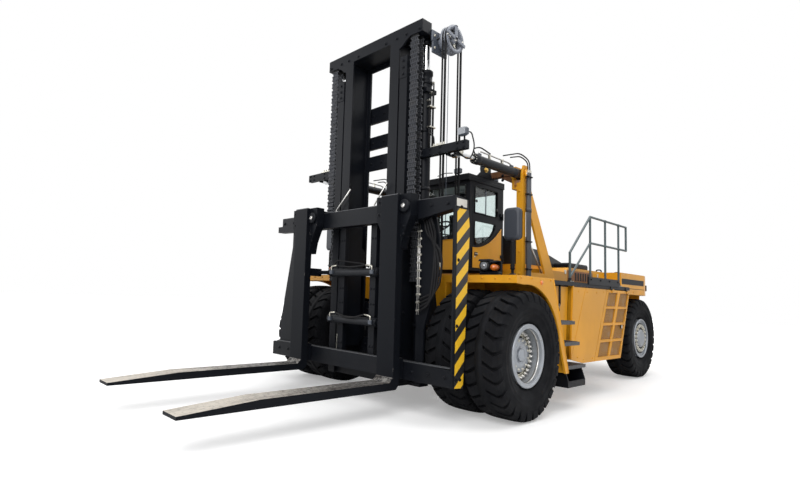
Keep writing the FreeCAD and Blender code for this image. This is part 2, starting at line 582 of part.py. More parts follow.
def build_tilt_towers():
    """Braced towers behind the front wheels and the beam that joins them over the cab."""
    outer = [
        ("tower_front", "deck_top"), ("tower_front", "tower_top - 150"), ("tower_front + 50", "tower_top"),
        (1335, "tower_top"), (1380, "tower_top - 270"), ("tower_foot", "deck_top"),
    ]
    opening = [(1265, 1990), (1265, 2960), (1290, 3030), (1365, 3030), (1915, 1990)]
    plate = prism("side", outer, "tower_out - tower_plate", "tower_out")
    web = box(("post_in", "tower_out - 10"), ("tower_front", "tower_front + 30"), ("deck_top", "head_under + 100"))
    post = box(("post_in", "post_in + 25"), ("tower_front", 1265), ("deck_top", "head_under + 100"))
    brace = prism("side", [
        ("tower_foot - 10", "deck_top + 10"), ("tower_foot - 38", "deck_top + 10"),
        (1352, "tower_top - 270"), (1380, "tower_top - 270"),
    ], "tower_out - 95", "tower_out - 25")
    head = prism("side", [
        ("tower_front", "head_under"), ("tower_front", "tower_top - 150"), ("tower_front + 50", "tower_top"),
        (1450, "tower_top"), (1450, "crossbeam_under - 20"), (1370, "head_under"),
    ], "tower_in", "tower_in + tower_plate")
    shelf = box(("tower_in + 10", "tower_out - 10"), ("tower_front", 1370), ("head_under", "head_under + 25"))
    foot = box(("post_in - 40", "tower_out + 20"), (1130, "tower_foot + 20"), ("deck_top", "deck_top + 25"))
    pin = rod("x", ("tower_in - 15", "tilt_pin_y", "tilt_pin_z"), "tower_out - tower_in + 30", "tilt_pin")
    beam = box(("-tower_in - 10", "tower_in + 10"), (1330, 1450), ("crossbeam_under", "tower_top"))
    gusset = prism("front", [
        (900, "crossbeam_under + 10"), ("tower_in + 10", "crossbeam_under + 10"),
        ("tower_in + 10", "crossbeam_under - 190"),
    ], 1350, 1430)
    tower = cut([plate, web, post, brace, head, shelf, foot], [
        prism("side", opening, "tower_out - tower_plate - 5", "tower_out + 10"),
    ])
    node("tilt_towers", both([tower, pin, gusset]) + [beam])


def build_tilt_cylinders():
    """Tilt barrels hung from the towers and the rods that hold the mast."""
    front = "tilt_pin_y - tilt_reach"
    barrel = rod("y", ("tilt_x", front, "tilt_pin_z"), "tilt_reach - 150", "tilt_barrel")
    neck = box(("tilt_x - 48", "tilt_x + 48"), ("tilt_pin_y - 170", "tilt_pin_y"),
               ("tilt_pin_z - tilt_barrel + 8", "tilt_pin_z + tilt_barrel - 8"))
    eye = rod("x", ("tilt_x - 48", "tilt_pin_y", "tilt_pin_z"), 96, "eye_radius")
    hole = rod("x", ("tilt_x - 60", "tilt_pin_y", "tilt_pin_z"), 120, "tilt_pin + running_gap")
    bore = rod("y", ("tilt_x", f"{front} + tilt_gland", "tilt_pin_z"), "tilt_reach - tilt_gland - 190", "tilt_bore")
    gland = rod("y", ("tilt_x", f"{front} - 5", "tilt_pin_z"), "tilt_gland + 20", "tilt_rod + running_gap")
    pair("tilt_cylinder", [cut([barrel, neck, eye], [hole, bore, gland])])
    shaft = rod("y", ("tilt_x", "mast_pin_y", "tilt_pin_z"), "560 - mast_pin_y", "tilt_rod")
    rod_eye = rod("x", ("tilt_x - eye_half", "mast_pin_y", "tilt_pin_z"), "2 * eye_half", "eye_radius")
    eye_hole = rod("x", ("tilt_x - 60", "mast_pin_y", "tilt_pin_z"), 120, "mast_pin + eye_play")
    pair("tilt_rod", [cut([shaft, rod_eye], [eye_hole])])


# ---------------------------------------------------------------- cab

HINGE_LEVELS = (2180, 2900)
UPPER_GLASS = [
    ("cab_front + 140", "window_sill"), ("cab_front + 830", "window_sill"),
    ("cab_front + 830", "window_top"), ("cab_front + 140", "window_top"),
]
LOWER_GLASS = [
    ("cab_front + 140", "mid_rail - 400"), ("cab_front + 240", "mid_rail - 395"),
    ("cab_front + 450", "mid_rail - 345"), ("cab_front + 620", "mid_rail - 245"),
    ("cab_front + 740", "mid_rail - 110"), ("cab_front + 780", "mid_rail"), ("cab_front + 140", "mid_rail"),
]


def side_leaf(play):
    """One side of the cab: dark frame with both panes cut out, and its painted lower skin."""
    front, rear = f"cab_front + post + {play}", f"cab_rear - post - {play}"
    bottom, top = f"cab_floor + 40 + {play}", f"cab_roof - {play}"
    slab = box(("cab_half - wall", "cab_half"), (front, rear), (bottom, top))
    panes = [prism("side", pane, "cab_half - wall - 5", "cab_half + 5") for pane in (UPPER_GLASS, LOWER_GLASS)]
    skin = prism("side", [
        (front, bottom), (rear, bottom), (rear, "mid_rail - 65"), ("cab_front + 820", "mid_rail - 140"),
        ("cab_front + 690", "mid_rail - 265"), ("cab_front + 520", "mid_rail - 365"),
        ("cab_front + 320", "mid_rail - 428"), (front, "mid_rail - 448"),
    ], "cab_half", "cab_half + 10")
    return [cut([slab], panes), skin]


def side_panes():
    """Both panes of one side."""
    return [
        prism("side", pane, "cab_half - wall / 2 - glass / 2", "cab_half - wall / 2 + glass / 2")
        for pane in (UPPER_GLASS, LOWER_GLASS)
    ]


def build_cab():
    """Cab: dark frame, painted lower shell, fixed glass, door, seat and console."""
    post_in = "cab_half - post"
    posts = [
        box((post_in, "cab_half"), (start, f"{start} + post"), ("cab_floor", "cab_roof"))
        for start in ("cab_front", "cab_rear - post")
    ]
    roof = box(("-cab_half - 12", "cab_half + 12"), ("cab_front - 60", "cab_rear + 12"),
               ("cab_roof", "cab_roof + roof_thick"))
    rails = [
        box(("-cab_half", "cab_half"), span, level)
        for span in (("cab_front", "cab_front + wall"), ("cab_rear - wall", "cab_rear"))
        for level in (("sill", "sill + 50"), ("cab_roof - 60", "cab_roof"))
    ]
    ear = prism("side", [
        (1170, "cab_roof + roof_thick - 5"), (1290, "cab_roof + roof_thick - 5"), (1290, 3640), (1200, 3640),
    ], "cab_half - 40", "cab_half")
    shell = [
        box(("-cab_half + 5", "cab_half"), ("cab_front + 10", "cab_rear - 10"), ("cab_floor", "cab_floor + 40")),
        box(("-cab_half + post", "cab_half - post"), ("cab_front", "cab_front + wall"), ("cab_floor", "sill")),
        box(("-cab_half + post", "cab_half - post"), ("cab_rear - wall", "cab_rear"), ("cab_floor", "sill")),
    ]
    feet = [
        box(("rail_outer - 90", "rail_outer"), (start, f"{start} + 120"), ("deck_top", "cab_floor + 10"))
        for start in ("cab_front + 60", "cab_rear - 180")
    ]
    knuckles = [
        rod("z", ("door_hinge_x", "door_hinge_y", level), 60, 14) for level in HINGE_LEVELS
    ] + [
        rod("z", ("door_hinge_x", "door_hinge_y", level), 115, "hinge_pin") for level in HINGE_LEVELS
    ] + [
        box(("cab_half - 10", "door_hinge_x"), ("cab_rear - 60", "door_hinge_y + 12"), (level, level + 60))
        for level in HINGE_LEVELS
    ]
    fixed_side = [mirrored(item) for item in side_leaf("(-5)")]
    node("cab_frame", both(posts + [ear] + feet) + rails + shell + knuckles + fixed_side + [roof])
    span, rise = ("-cab_half + post", "cab_half - post"), ("sill + 50", "cab_roof - 60")
    front = box(span, ("cab_front + 18", "cab_front + 18 + glass"), rise)
    back = box(span, ("cab_rear - 26", "cab_rear - 26 + glass"), rise)
    node("cab_windows", [front, back] + [mirrored(pane) for pane in side_panes()])
    hinge_rings = [
        rod("z", ("door_hinge_x", "door_hinge_y", f"{level} + 60 + seat"), 55, 14) for level in HINGE_LEVELS
    ]
    hinge_leaves = [
        box((near, "door_hinge_x"), span, (f"{level} + 60 + seat", f"{level} + 115"))
        for level in HINGE_LEVELS
        for near, span in (("cab_half - 10", ("cab_rear - post - 40", "cab_rear - post - 8")),
                           ("cab_half + 6", ("cab_rear - post - 20", "door_hinge_y")))
    ]
    hinge_bores = [
        rod("z", ("door_hinge_x", "door_hinge_y", level), 200, "hinge_pin + running_gap") for level in HINGE_LEVELS
    ]
    node("cab_door", [cut(side_leaf("5") + hinge_rings + hinge_leaves, hinge_bores)])
    node("cab_door_windows", side_panes())
    base = "cab_floor + 40"
    node("operator_seat", [
        box((-190, 190), (1180, 1520), (base, f"{base} + 330")),
        box((-260, 260), (1110, 1600), (f"{base} + 325", f"{base} + 450")),
        box((-250, 250), (1540, 1660), (f"{base} + 440", f"{base} + 1080")),
        box((-330, -262), (1200, 1560), (f"{base} + 560", f"{base} + 620")),
        box((262, 330), (1200, 1560), (f"{base} + 560", f"{base} + 620")),
        box((-320, 320), (1500, 1545), (f"{base} + 400", f"{base} + 600")),
    ])
    wheel = doc.addObject("Part::Torus", "SteeringRing")
    wheel.Radius1 = 185
    wheel.Radius2 = 15
    place(wheel, 0, 985, f"{base} + 745", Rotation(Vector(1, 0, 0), 35))
    column = slanted(0, (800, f"{base} + 330"), (985, f"{base} + 745"), 38)
    spoke = box((-178, 178), (965, 1005), (f"{base} + 728", f"{base} + 752"))
    node("steering_console", [
        prism("side", [(780, base), (960, base), (900, f"{base} + 380"), (780, f"{base} + 380")], -190, 190),
        wheel, column, spoke,
    ])


# ---------------------------------------------------------------- body work

def build_fenders():
    """Front fenders: platform, outer skirt with its arch, sloping mudguard."""
    top = box(("fender_in", "fender_out"), ("fender_front", "deck_front"), ("deck_top - skin", "deck_top"))
    lip = box(("fender_in", "fender_out"), ("fender_front", "fender_front + skin"), ("fender_edge", "deck_top"))
    skirt = prism("side", [
        ("fender_front", "fender_edge"), ("fender_front", "deck_top"), ("fender_rear", "deck_top"),
        ("skirt_station", "skirt_bottom"), ("skirt_station - 85", "skirt_bottom"),
        (800, 1230), (0, "fender_edge - 20"),
    ], "fender_out - skin", "fender_out")
    arch = rod("x", ("fender_out - 60", 0, "tyre_radius"), 100, "arch_radius")
    guard = prism("side", [
        ("fender_rear - 32", "deck_top - 4"), ("fender_rear", "deck_top"),
        ("skirt_station", "skirt_bottom"), ("skirt_station - 34", "skirt_bottom"),
    ], "fender_in", "fender_out")
    inner = prism("side", [
        ("fender_front", "deck_top"), ("fender_rear - 10", "deck_top"), ("fender_rear + 150", 1400),
        (600, 1400), (-120, 1560), ("fender_front", 1300),
    ], "fender_in - skin", "fender_in")
    eye = cut([rod("x", ("eye_x - 20", "eye_station", "deck_top - 13"), 40, 58)],
              [rod("x", ("eye_x - 30", "eye_station", "deck_top - 13"), 60, 28)])
    bracket = prism("front", [
        ("eye_x + 15", "deck_top - 40"), ("fender_in - 10", "deck_top"), ("fender_in - 10", "fender_edge - 60"),
        (960, 1290), (890, 1290), ("eye_x + 15", "fender_edge"),
    ], "eye_station - 25", "eye_station + 25")
    node("front_fenders", both([fuse([cut([skirt], [arch]), top, lip, guard, inner, eye, bracket])]))


def build_steps():
    """Access steps behind the front wheels: treads, stringer plate and step box."""
    treads = [
        box((1800, 2140), span, (level - 40, level))
        for level, span in ((1262, (950, 1400)), (958, (1060, 1560)), (622, (1180, 1760)))
    ]
    stringer = prism("side", [
        (1185, 600), (1790, 600), (1890, "deck_under"), (770, "deck_under"), (1100, 850),
    ], 1800, 1830)
    sides = [box((1860, 1880), (1180, 1750), (340, 600)), box((2120, 2140), (1180, 1750), (340, 410))]
    tray = box((1860, 2140), (1180, 1750), (320, 345))
    toe = prism("front", [(1860, 340), (2140, 340), (2140, 410), (2080, 600), (1860, 600)], 1180, 1200)
    heel = prism("front", [(1860, 340), (2140, 340), (2140, 410), (2080, 600), (1860, 600)], 1730, 1750)
    node("access_steps", both([fuse(treads + [stringer, tray, toe, heel] + sides)]))


GRILLE_HINGES = (3380, 4080)


def build_side_panels():
    """Side panels under the walkway and the grille doors behind them."""
    plate = prism("side", [
        (1815, 655), (2255, "panel_bottom"), (2680, "panel_bottom"), (3230, "deck_under"), (1905, "deck_under"),
    ], "panel_x - skin", "panel_x")
    bulkhead = box(("rail_outer + 5", "panel_x - skin + 5"), (1935, 1960), (640, "deck_under"))
    floor = box(("rail_outer + 5", "panel_x - skin + 5"), (1935, 2560), (640, 665))
    rear = prism("side", [(3835, 620), (3860, 620), (4315, "deck_under"), (4290, "deck_under")],
                 "rail_outer + 5", "panel_x - skin - 25")
    node("side_panels", both([fuse([plate, bulkhead, floor, rear])]))
    leaf = prism("side", [
        (2695, "panel_bottom"), (3830, "panel_bottom"), (4300, "panel_top - 10"), (3240, "panel_top - 10"),
    ], "panel_x - skin", "panel_x")
    pockets = []
    for row in range(4):
        low, high = 640 + row * 285, 640 + row * 285 + 245
        for column in range(2):
            left = 2790 + column * 520
            lean_low, lean_high = (low - 580) * 0.44, (high - 580) * 0.44
            pockets.append(prism("side", [
                (left + lean_low, low), (left + 450 + lean_low * 0.92, low),
                (left + 450 + lean_high * 0.92, high), (left + lean_high, high),
            ], "panel_x - 14", "panel_x + 5"))
    rings = [
        rod("y", ("grille_hinge_x", start + 60.3, "grille_hinge_z"), 60, 10) for start in GRILLE_HINGES
    ] + [
        box(("panel_x - 5", "grille_hinge_x"), (start + 60.3, start + 120.3), ("grille_hinge_z - 50", "grille_hinge_z"))
        for start in GRILLE_HINGES
    ]
    bores = [rod("y", ("grille_hinge_x", start, "grille_hinge_z"), 200, "hinge_pin + running_gap")
             for start in GRILLE_HINGES]
    pair("grille_door", [cut([cut([leaf], pockets)] + rings, bores)])


def build_deck():
    """Deck plate over the chassis, open above the engine."""
    plate = box(("-panel_x", "panel_x"), ("deck_front", "deck_rear"), ("deck_under", "deck_top"))
    bay = box(("-rail_outer + 80", "rail_outer - 80"), ("hood_front + 120", "deck_rear + 5"),
              ("deck_under - 5", "deck_top + 5"))
    toe = box(("panel_x - 5", "panel_x + 25"), (2440, 3750), ("deck_top - 15", "deck_top + 112"))
    hinge_halves = [
        rod("y", ("grille_hinge_x", start, "grille_hinge_z"), 60, 10) for start in GRILLE_HINGES
    ] + [
        rod("y", ("grille_hinge_x", start, "grille_hinge_z"), 120, "hinge_pin") for start in GRILLE_HINGES
    ] + [
        box(("panel_x", "grille_hinge_x"), (start, start + 60), ("grille_hinge_z", "deck_top - 10"))
        for start in GRILLE_HINGES
    ]
    node("deck_plate", [cut([plate], [bay])] + both([toe] + hinge_halves))


def build_engine():
    """Engine and gearbox as plain masses, with the shaft to the drive axle."""
    node("engine_block", [
        box((-430, 430), (3150, 4650), (720, 1760)),
        box((-330, 330), (1750, 2700), (760, 1420)),
        rod("y", (0, 2650, 1000), 560, 160),
        rod("y", (0, 560, "tyre_radius"), 1215, "shaft_radius"),
    ])


def build_hood():
    """Engine hood: closed sides, a flat top and a raised black middle that slopes down to the rear."""
    shell = prism("side", [
        ("hood_front - 620", "deck_top"), ("hood_front - 620", "hood_top - 90"), ("hood_front + 390", "hood_top - 90"),
        ("hood_front + 490", "hood_top"), ("hood_rear", "hood_top"), ("hood_rear", "deck_top"),
    ], "-hood_half", "hood_half")
    dome = prism("side", [
        ("hood_front - 560", "hood_top - 110"), ("hood_front - 550", "hood_top + 525"),
        ("hood_front - 500", "hood_top + 530"), ("hood_front - 190", "hood_top + 305"),
        ("hood_front + 40", "hood_top + 300"), ("hood_front + 470", "hood_top + 225"),
        ("hood_front + 1150", "hood_top + 80"), ("hood_front + 1250", "hood_top - 20"),
    ], "-dome_half", "dome_half")
    hollow = prism("side", [
        ("hood_front - 590", "deck_top - 5"), ("hood_front - 590", "hood_top - 120"),
        ("hood_front + 405", "hood_top - 120"), ("hood_front + 505", "hood_top - 30"),
        ("hood_rear - 30", "hood_top - 30"), ("hood_rear - 30", "deck_top - 5"),
    ], "-hood_half + skin", "hood_half - skin")
    dome_hollow = prism("side", [
        ("hood_front - 530", "hood_top - 130"), ("hood_front - 520", "hood_top + 495"),
        ("hood_front - 205", "hood_top + 272"), ("hood_front + 35", "hood_top + 268"),
        ("hood_front + 460", "hood_top + 193"), ("hood_front + 1130", "hood_top + 45"),
        ("hood_front + 1190", "hood_top - 40"),
    ], "-dome_half + skin", "dome_half - skin")
    sides = box(("hood_half - skin", "hood_half"), ("deck_rear + 30", "hood_rear"), (1180, "deck_top + 10"))
    node("engine_hood", [cut([shell, dome], [hollow, dome_hollow])] + both([sides]))


def build_counterweight():
    """Counterweight over the rear wheels, with tapered corners and a lower tail."""
    plan = [
        ("-weight_half", "weight_front"), ("weight_half", "weight_front"), ("weight_half", "wheelbase + 200"),
        (1420, "wheelbase + 650"), (1180, "rear_end - 350"), (760, "rear_end - 60"), (0, "rear_end"),
        (-760, "rear_end - 60"), (-1180, "rear_end - 350"), (-1420, "wheelbase + 650"),
        ("-weight_half", "wheelbase + 200"),
    ]
    upper = prism("top", plan, "weight_under", "hood_top")
    tail = prism("top", [
        (-1160, "weight_lower"), (1160, "weight_lower"), (760, "rear_end - 60"), (0, "rear_end"),
        (-760, "rear_end - 60"),
    ], 820, "weight_under + 10")
    core = box(("-spine_half", "spine_half"), ("weight_front + 135", "weight_lower + 5"), ("rail_top", "weight_under + 10"))
    pocket = box((-150, 150), ("rear_end - 180", "rear_end + 10"), (980, 1180))
    pin_bore = rod("z", (0, "rear_end - 100", 800), 470, "tow_bore")
    chin = prism("front", [
        ("-weight_half + 5", "weight_under - 95"), ("-weight_half + 5", "weight_under + 10"),
        ("-weight_half + 480", "weight_under + 10"), ("-weight_half + 300", "weight_under - 95"),
    ], "weight_front + 10", "weight_front + 190")
    node("counterweight", [cut([upper, tail, core], [pocket, pin_bore])] + both([chin]))


def build_handrails():
    """Handrail of each walkway, bent tube on three posts."""
    x, low, top, middle = "handrail_x", "deck_top", "handrail_top", "handrail_mid"
    front, first, last, end = 2010, 2790, 4051, 4425
    posts = [rod("z", (x, start, low), f"{top} - ({low})", "tube - 1") for start in (first, 3432, last)]
    rails = [
        rod("y", (x, first, top), end - first, "tube"),
        rod("y", (x, first, middle), end - first, "tube"),
        rod("z", (x, end, middle), f"{top} - {middle}", "tube"),
        rod("z", (x, front, low), f"2340 - ({low})", "tube"),
        slanted(x, (front, 2340), (first, top), "tube"),
        slanted(x, (front, 1945), (first, middle), "tube - 2"),
    ]
    bends = [
        ball(x, start, level, "tube + 1")
        for start, level in ((end, middle), (end, top), (front, 2340), (first, top), (first, middle))
    ]
    feet = [
        box((f"{x} - 45", f"{x} + 45"), (start - 45, start + 45), (low, "deck_top + 12"))
        for start in (front, first, 3432, last)
    ]
    node("handrails", both([fuse(posts + rails + bends + feet)]))


def build_mirrors():
    """Tall mirrors on stalks at the fenders, and the lamps in front of them."""
    stalk = rod("z", (1875, 100, "deck_top"), 520, 20)
    back = prism("top", [
        (1745, 150), (1745, 110), (1785, 60), (1950, 60), (1990, 110), (1990, 150),
    ], 2350, 2800)
    lamps = [
        box((1460, 1760), (-60, 60), ("deck_top", "deck_top + 60")),
        box((1480, 1580), (-70, 40), ("deck_top + 55", "deck_top + 230")),
        rod("y", (1530, -110, "deck_top + 145"), 60, 58),
        box((1610, 1740), (-40, 30), ("deck_top + 55", "deck_top + 160")),
        rod("y", (1672, -90, "deck_top + 112"), 60, 48),
    ]
    node("mirrors_and_lamps", both([fuse([stalk, back]), fuse(lamps)]))


def check_and_export():
    """Stop on any failed object, then write one STEP file per sub-part."""
    doc.recompute()
    failed = [item.Name for item in doc.Objects if {"Invalid", "Error"} & set(item.State)]
    if failed:
        raise RuntimeError(f"failed objects: {failed}")
    for name, item in NODES.items():
        shape = item.Shape
        if shape.isNull() or not shape.isValid() or not shape.Solids:
            raise RuntimeError(f"bad shape: {name}")
        shape.exportStep(f"parts/{name}.step")


os.makedirs("parts", exist_ok=True)
build_wheels()
build_chassis()
build_axles()
build_outer_mast()
build_inner_mast()
build_lift_cylinders()
build_lift_chains()
build_hose_reel()
build_carriage()
build_fork("fork_left", 1, "lower_ram_z")
build_fork("fork_right", -1, "upper_ram_z")
build_tilt_towers()
build_tilt_cylinders()
build_cab()
build_fenders()
build_steps()
build_side_panels()
build_deck()
build_engine()
build_hood()
build_counterweight()
build_handrails()
build_mirrors()
check_and_export()
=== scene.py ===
"""Looks of a heavy counterbalance forklift truck, built round its packed construction model.

Metres, +Z up. The truck faces -Y and +X is the driver's left. A station is a distance
measured rearward from the front axle.
"""

import json
import logging
from dataclasses import dataclass
from enum import Enum
from itertools import product
from math import cos, pi, radians, sin
from typing import Iterable, Sequence, Union

import bmesh
import bpy
from bpy.types import ID, Material, Node, NodeInputs, NodeSocket, NodeTree, Object
from mathutils import Matrix, Vector

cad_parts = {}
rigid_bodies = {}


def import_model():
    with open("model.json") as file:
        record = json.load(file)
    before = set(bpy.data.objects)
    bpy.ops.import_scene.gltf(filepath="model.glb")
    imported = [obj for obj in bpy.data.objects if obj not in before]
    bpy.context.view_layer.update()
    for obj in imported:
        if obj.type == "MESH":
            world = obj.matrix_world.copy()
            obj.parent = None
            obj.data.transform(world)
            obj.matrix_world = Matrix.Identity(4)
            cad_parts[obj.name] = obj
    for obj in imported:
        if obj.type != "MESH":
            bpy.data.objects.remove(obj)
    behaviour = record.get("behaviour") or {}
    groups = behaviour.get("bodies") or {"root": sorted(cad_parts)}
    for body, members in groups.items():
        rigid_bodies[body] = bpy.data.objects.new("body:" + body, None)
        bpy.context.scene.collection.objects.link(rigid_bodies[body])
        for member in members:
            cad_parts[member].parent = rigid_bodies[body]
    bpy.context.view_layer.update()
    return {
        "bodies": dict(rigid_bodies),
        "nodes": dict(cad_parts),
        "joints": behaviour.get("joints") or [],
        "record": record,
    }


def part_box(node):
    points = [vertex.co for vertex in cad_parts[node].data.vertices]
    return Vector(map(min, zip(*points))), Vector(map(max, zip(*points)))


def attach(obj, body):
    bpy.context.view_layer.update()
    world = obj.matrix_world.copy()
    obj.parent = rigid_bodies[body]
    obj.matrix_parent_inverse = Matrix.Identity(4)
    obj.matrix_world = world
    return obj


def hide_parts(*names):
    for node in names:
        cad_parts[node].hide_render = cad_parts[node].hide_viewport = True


logging.basicConfig(level=logging.INFO, format="%(message)s")
LOG = logging.getLogger("forklift")

Colour = tuple[float, float, float]
Spot = Union[Vector, tuple[float, float, float]]
Span = Union[float, tuple[float, ...]]
Socket = Union[NodeSocket, float, Colour, tuple]
CORNER_STEPS = 6
FULL_TURN = 6.283
SIDES: dict[str, int] = {"left": 1, "right": -1}
LEFT, REAR, UP = Vector((1, 0, 0)), Vector((0, 1, 0)), Vector((0, 0, 1))


def at(x: float, y: float, z: float) -> Vector:
    """The point at a distance to the left, a station and a height."""
    return Vector((x, y, z))


def tinted(colour: Colour, factor: float, lift: float = 0.0) -> Colour:
    """The colour times a factor, with a little white added."""
    return tuple(c * factor + lift for c in colour)


def placed(name: str, data: ID) -> Object:
    """A new object of the scene that holds the data."""
    made = bpy.data.objects.new(name, data)
    bpy.context.scene.collection.objects.link(made)
    return made


# --- shader building


class Wiring:
    """Adds and links the nodes of one shader tree."""

    def __init__(self, tree: NodeTree) -> None:
        """Keeps the tree that the nodes go in."""
        self.tree = tree

    def add(self, kind: str, inputs: dict[Union[str, int], Socket] | None = None,
            **settings: object) -> Node:
        """Adds one node.

        Args:
            kind: the node's type name, without "ShaderNode".
            inputs: a value or a socket for each named or numbered input.
            **settings: the node's own settings.

        Returns:
            The new node.
        """
        node = self.tree.nodes.new("ShaderNode" + kind)
        for key, value in settings.items():
            setattr(node, key, value)
        for key, value in (inputs or {}).items():
            self.feed(node.inputs[key], value)
        return node

    def feed(self, socket: NodeSocket, value: Socket) -> None:
        """Links a socket to an input, or sets the input's own value.

        Args:
            socket: the input.
            value: a socket, a number, or a colour of three or four numbers.
        """
        if isinstance(value, NodeSocket):
            self.tree.links.new(value, socket)
        elif isinstance(value, tuple) and socket.type == "RGBA" and len(value) == 3:
            socket.default_value = (*value, 1.0)
        else:
            socket.default_value = value

    def math(self, operation: str, *values: Socket, clamp: bool = False) -> NodeSocket:
        """A Math node of one to three numbers or sockets."""
        return self.add("Math", dict(enumerate(values)), operation=operation,
                        use_clamp=clamp).outputs[0]

    def times(self, first: Socket, second: Socket) -> NodeSocket:
        """The product of two numbers or sockets."""
        return self.math("MULTIPLY", first, second)

    def blend(self, amount: Socket, low: Socket, high: Socket) -> NodeSocket:
        """A mix of two colours: low where the amount is 0, high where it is 1."""
        return self.add("Mix", {0: amount, 6: low, 7: high}, data_type="RGBA").outputs[2]

    def between(self, amount: Socket, low: Socket, high: Socket) -> NodeSocket:
        """A mix of two numbers: low where the amount is 0, high where it is 1."""
        return self.add("Mix", {0: amount, 2: low, 3: high}, data_type="FLOAT").outputs[0]

    def ramp(self, value: Socket, start: Socket, end: Socket, low: float = 0.0,
             high: float = 1.0) -> NodeSocket:
        """Maps a range of values onto another, smoothly and clamped.

        Args:
            value: the value.
            start: the value that gives low.
            end: the value that gives high.
            low: the result at start.
            high: the result at end.

        Returns:
            The result's socket.
        """
        inputs = {"Value": value, "From Min": start, "From Max": end, "To Min": low, "To Max": high}
        return self.add("MapRange", inputs, interpolation_type="SMOOTHSTEP").outputs["Result"]

    def noise(self, vector: Socket, scale: Socket, detail: float = 4.0,
              rough: float = 0.55) -> NodeSocket:
        """A noise texture of a scale per metre, with fine octaves as strong as rough."""
        node = self.add(
            "TexNoise", {"Vector": vector, "Scale": scale, "Detail": detail, "Roughness": rough})
        return node.outputs["Fac"]

    def place(self) -> NodeSocket:
        """The point's place on the truck, which moves with its body."""
        return self.add("TexCoord").outputs["Object"]

    def split(self, vector: Socket) -> list[NodeSocket]:
        """The x, y and z of a vector."""
        return list(self.add("SeparateXYZ", {0: vector}).outputs)


class Effect:
    """A shader node group that several finishes share, built once."""

    title: str = ""
    inputs: dict[str, float] = {}
    outputs: tuple[str, ...] = ("Mask",)

    @classmethod
    def tree(cls) -> NodeTree:
        """The group's tree, made the first time that it is asked for."""
        found = bpy.data.node_groups.get(cls.title)
        if found:
            return found
        tree = bpy.data.node_groups.new(cls.title, "ShaderNodeTree")
        for name, value in cls.inputs.items():
            socket = tree.interface.new_socket(name, in_out="INPUT", socket_type="NodeSocketFloat")
            socket.default_value = value
        for name in cls.outputs:
            tree.interface.new_socket(name, in_out="OUTPUT", socket_type="NodeSocketFloat")
        start, end = tree.nodes.new("NodeGroupInput"), tree.nodes.new("NodeGroupOutput")
        wires = Wiring(tree)
        for name, result in cls.build(wires, start.outputs).items():
            tree.links.new(result, end.inputs[name])
        return tree

    @classmethod
    def build(cls, wires: Wiring, given: NodeInputs) -> dict[str, NodeSocket]:
        """Builds the inside from its inputs, and gives the socket of each output."""
        raise NotImplementedError

    @classmethod
    def use(cls, wires: Wiring, **values: Socket) -> Node:
        """Places the group in a material.

        Args:
            wires: adds nodes to the material's tree.
            **values: the inputs, with _ for a space.

        Returns:
            The group's node.
        """
        node = wires.tree.nodes.new("ShaderNodeGroup")
        node.node_tree = cls.tree()
        for key, value in values.items():
            wires.feed(node.inputs[key.replace("_", " ")], value)
        return node


class EdgeWear(Effect):
    """Rubbed corners: 1 where an edge is worn bare."""

    title = "Edge wear"
    inputs = {"Radius": 0.008, "Amount": 0.5, "Scale": 14.0}

    @classmethod
    def build(cls, wires: Wiring, given: NodeInputs) -> dict[str, NodeSocket]:
        """Finds edges by how far the rounded normal leaves the flat one, broken up by noise."""
        rounded = wires.add("Bevel", {"Radius": given["Radius"]}, samples=4).outputs[0]
        flat = wires.add("NewGeometry").outputs["Normal"]
        dot = wires.add("VectorMath", {0: rounded, 1: flat}, operation="DOT_PRODUCT")
        edge = wires.ramp(wires.math("SUBTRACT", 1.0, dot.outputs["Value"]), 0.01, 0.16)
        patches = wires.noise(wires.place(), given["Scale"], 6.0, 0.65)
        limit = wires.math("SUBTRACT", 0.78, wires.times(given["Amount"], 0.5))
        kept = wires.ramp(patches, limit, wires.math("ADD", limit, 0.08))
        return {"Mask": wires.times(edge, kept)}


class RoadDust(Effect):
    """Pale dust on what faces up, and dried spray near the ground."""

    title = "Road dust"
    inputs = {"Amount": 0.5, "Scale": 3.0, "Reach": 1.4}

    @classmethod
    def build(cls, wires: Wiring, given: NodeInputs) -> dict[str, NodeSocket]:
        """Adds the upward part to the low part and breaks both up with noise."""
        spot = wires.place()
        up = wires.split(wires.add("NewGeometry").outputs["Normal"])[2]
        height = wires.split(spot)[2]
        low = wires.ramp(height, given["Reach"], 0.1, 0.0, 0.6)
        settled = wires.ramp(up, 0.35, 0.95, 0.0, 0.8)
        cloud = wires.ramp(wires.noise(spot, given["Scale"], 7.0, 0.62), 0.36, 0.68)
        both = wires.math("ADD", low, settled, clamp=True)
        return {"Mask": wires.times(wires.times(both, cloud), given["Amount"])}


class Grain(Effect):
    """Fine surface grain with a slow change of tone."""

    title = "Grain"
    inputs = {"Scale": 260.0, "Drift": 1.2}
    outputs = ("Tone", "Height")

    @classmethod
    def build(cls, wires: Wiring, given: NodeInputs) -> dict[str, NodeSocket]:
        """A fine noise for the height, and a coarse one for the tone."""
        spot = wires.place()
        return {"Tone": wires.noise(spot, given["Drift"], 3.0, 0.5),
                "Height": wires.noise(spot, given["Scale"], 2.0, 0.5)}


class Streaks(Effect):
    """Rain marks that run down upright faces."""

    title = "Streaks"
    inputs = {"Scale": 24.0}

    @classmethod
    def build(cls, wires: Wiring, given: NodeInputs) -> dict[str, NodeSocket]:
        """Noise that is drawn out along the height."""
        drawn = wires.add("Mapping", {"Vector": wires.place(), "Scale": (1.0, 1.0, 0.06)})
        return {
            "Mask": wires.ramp(wires.noise(drawn.outputs[0], given["Scale"], 5.0, 0.7), 0.52, 0.74)}


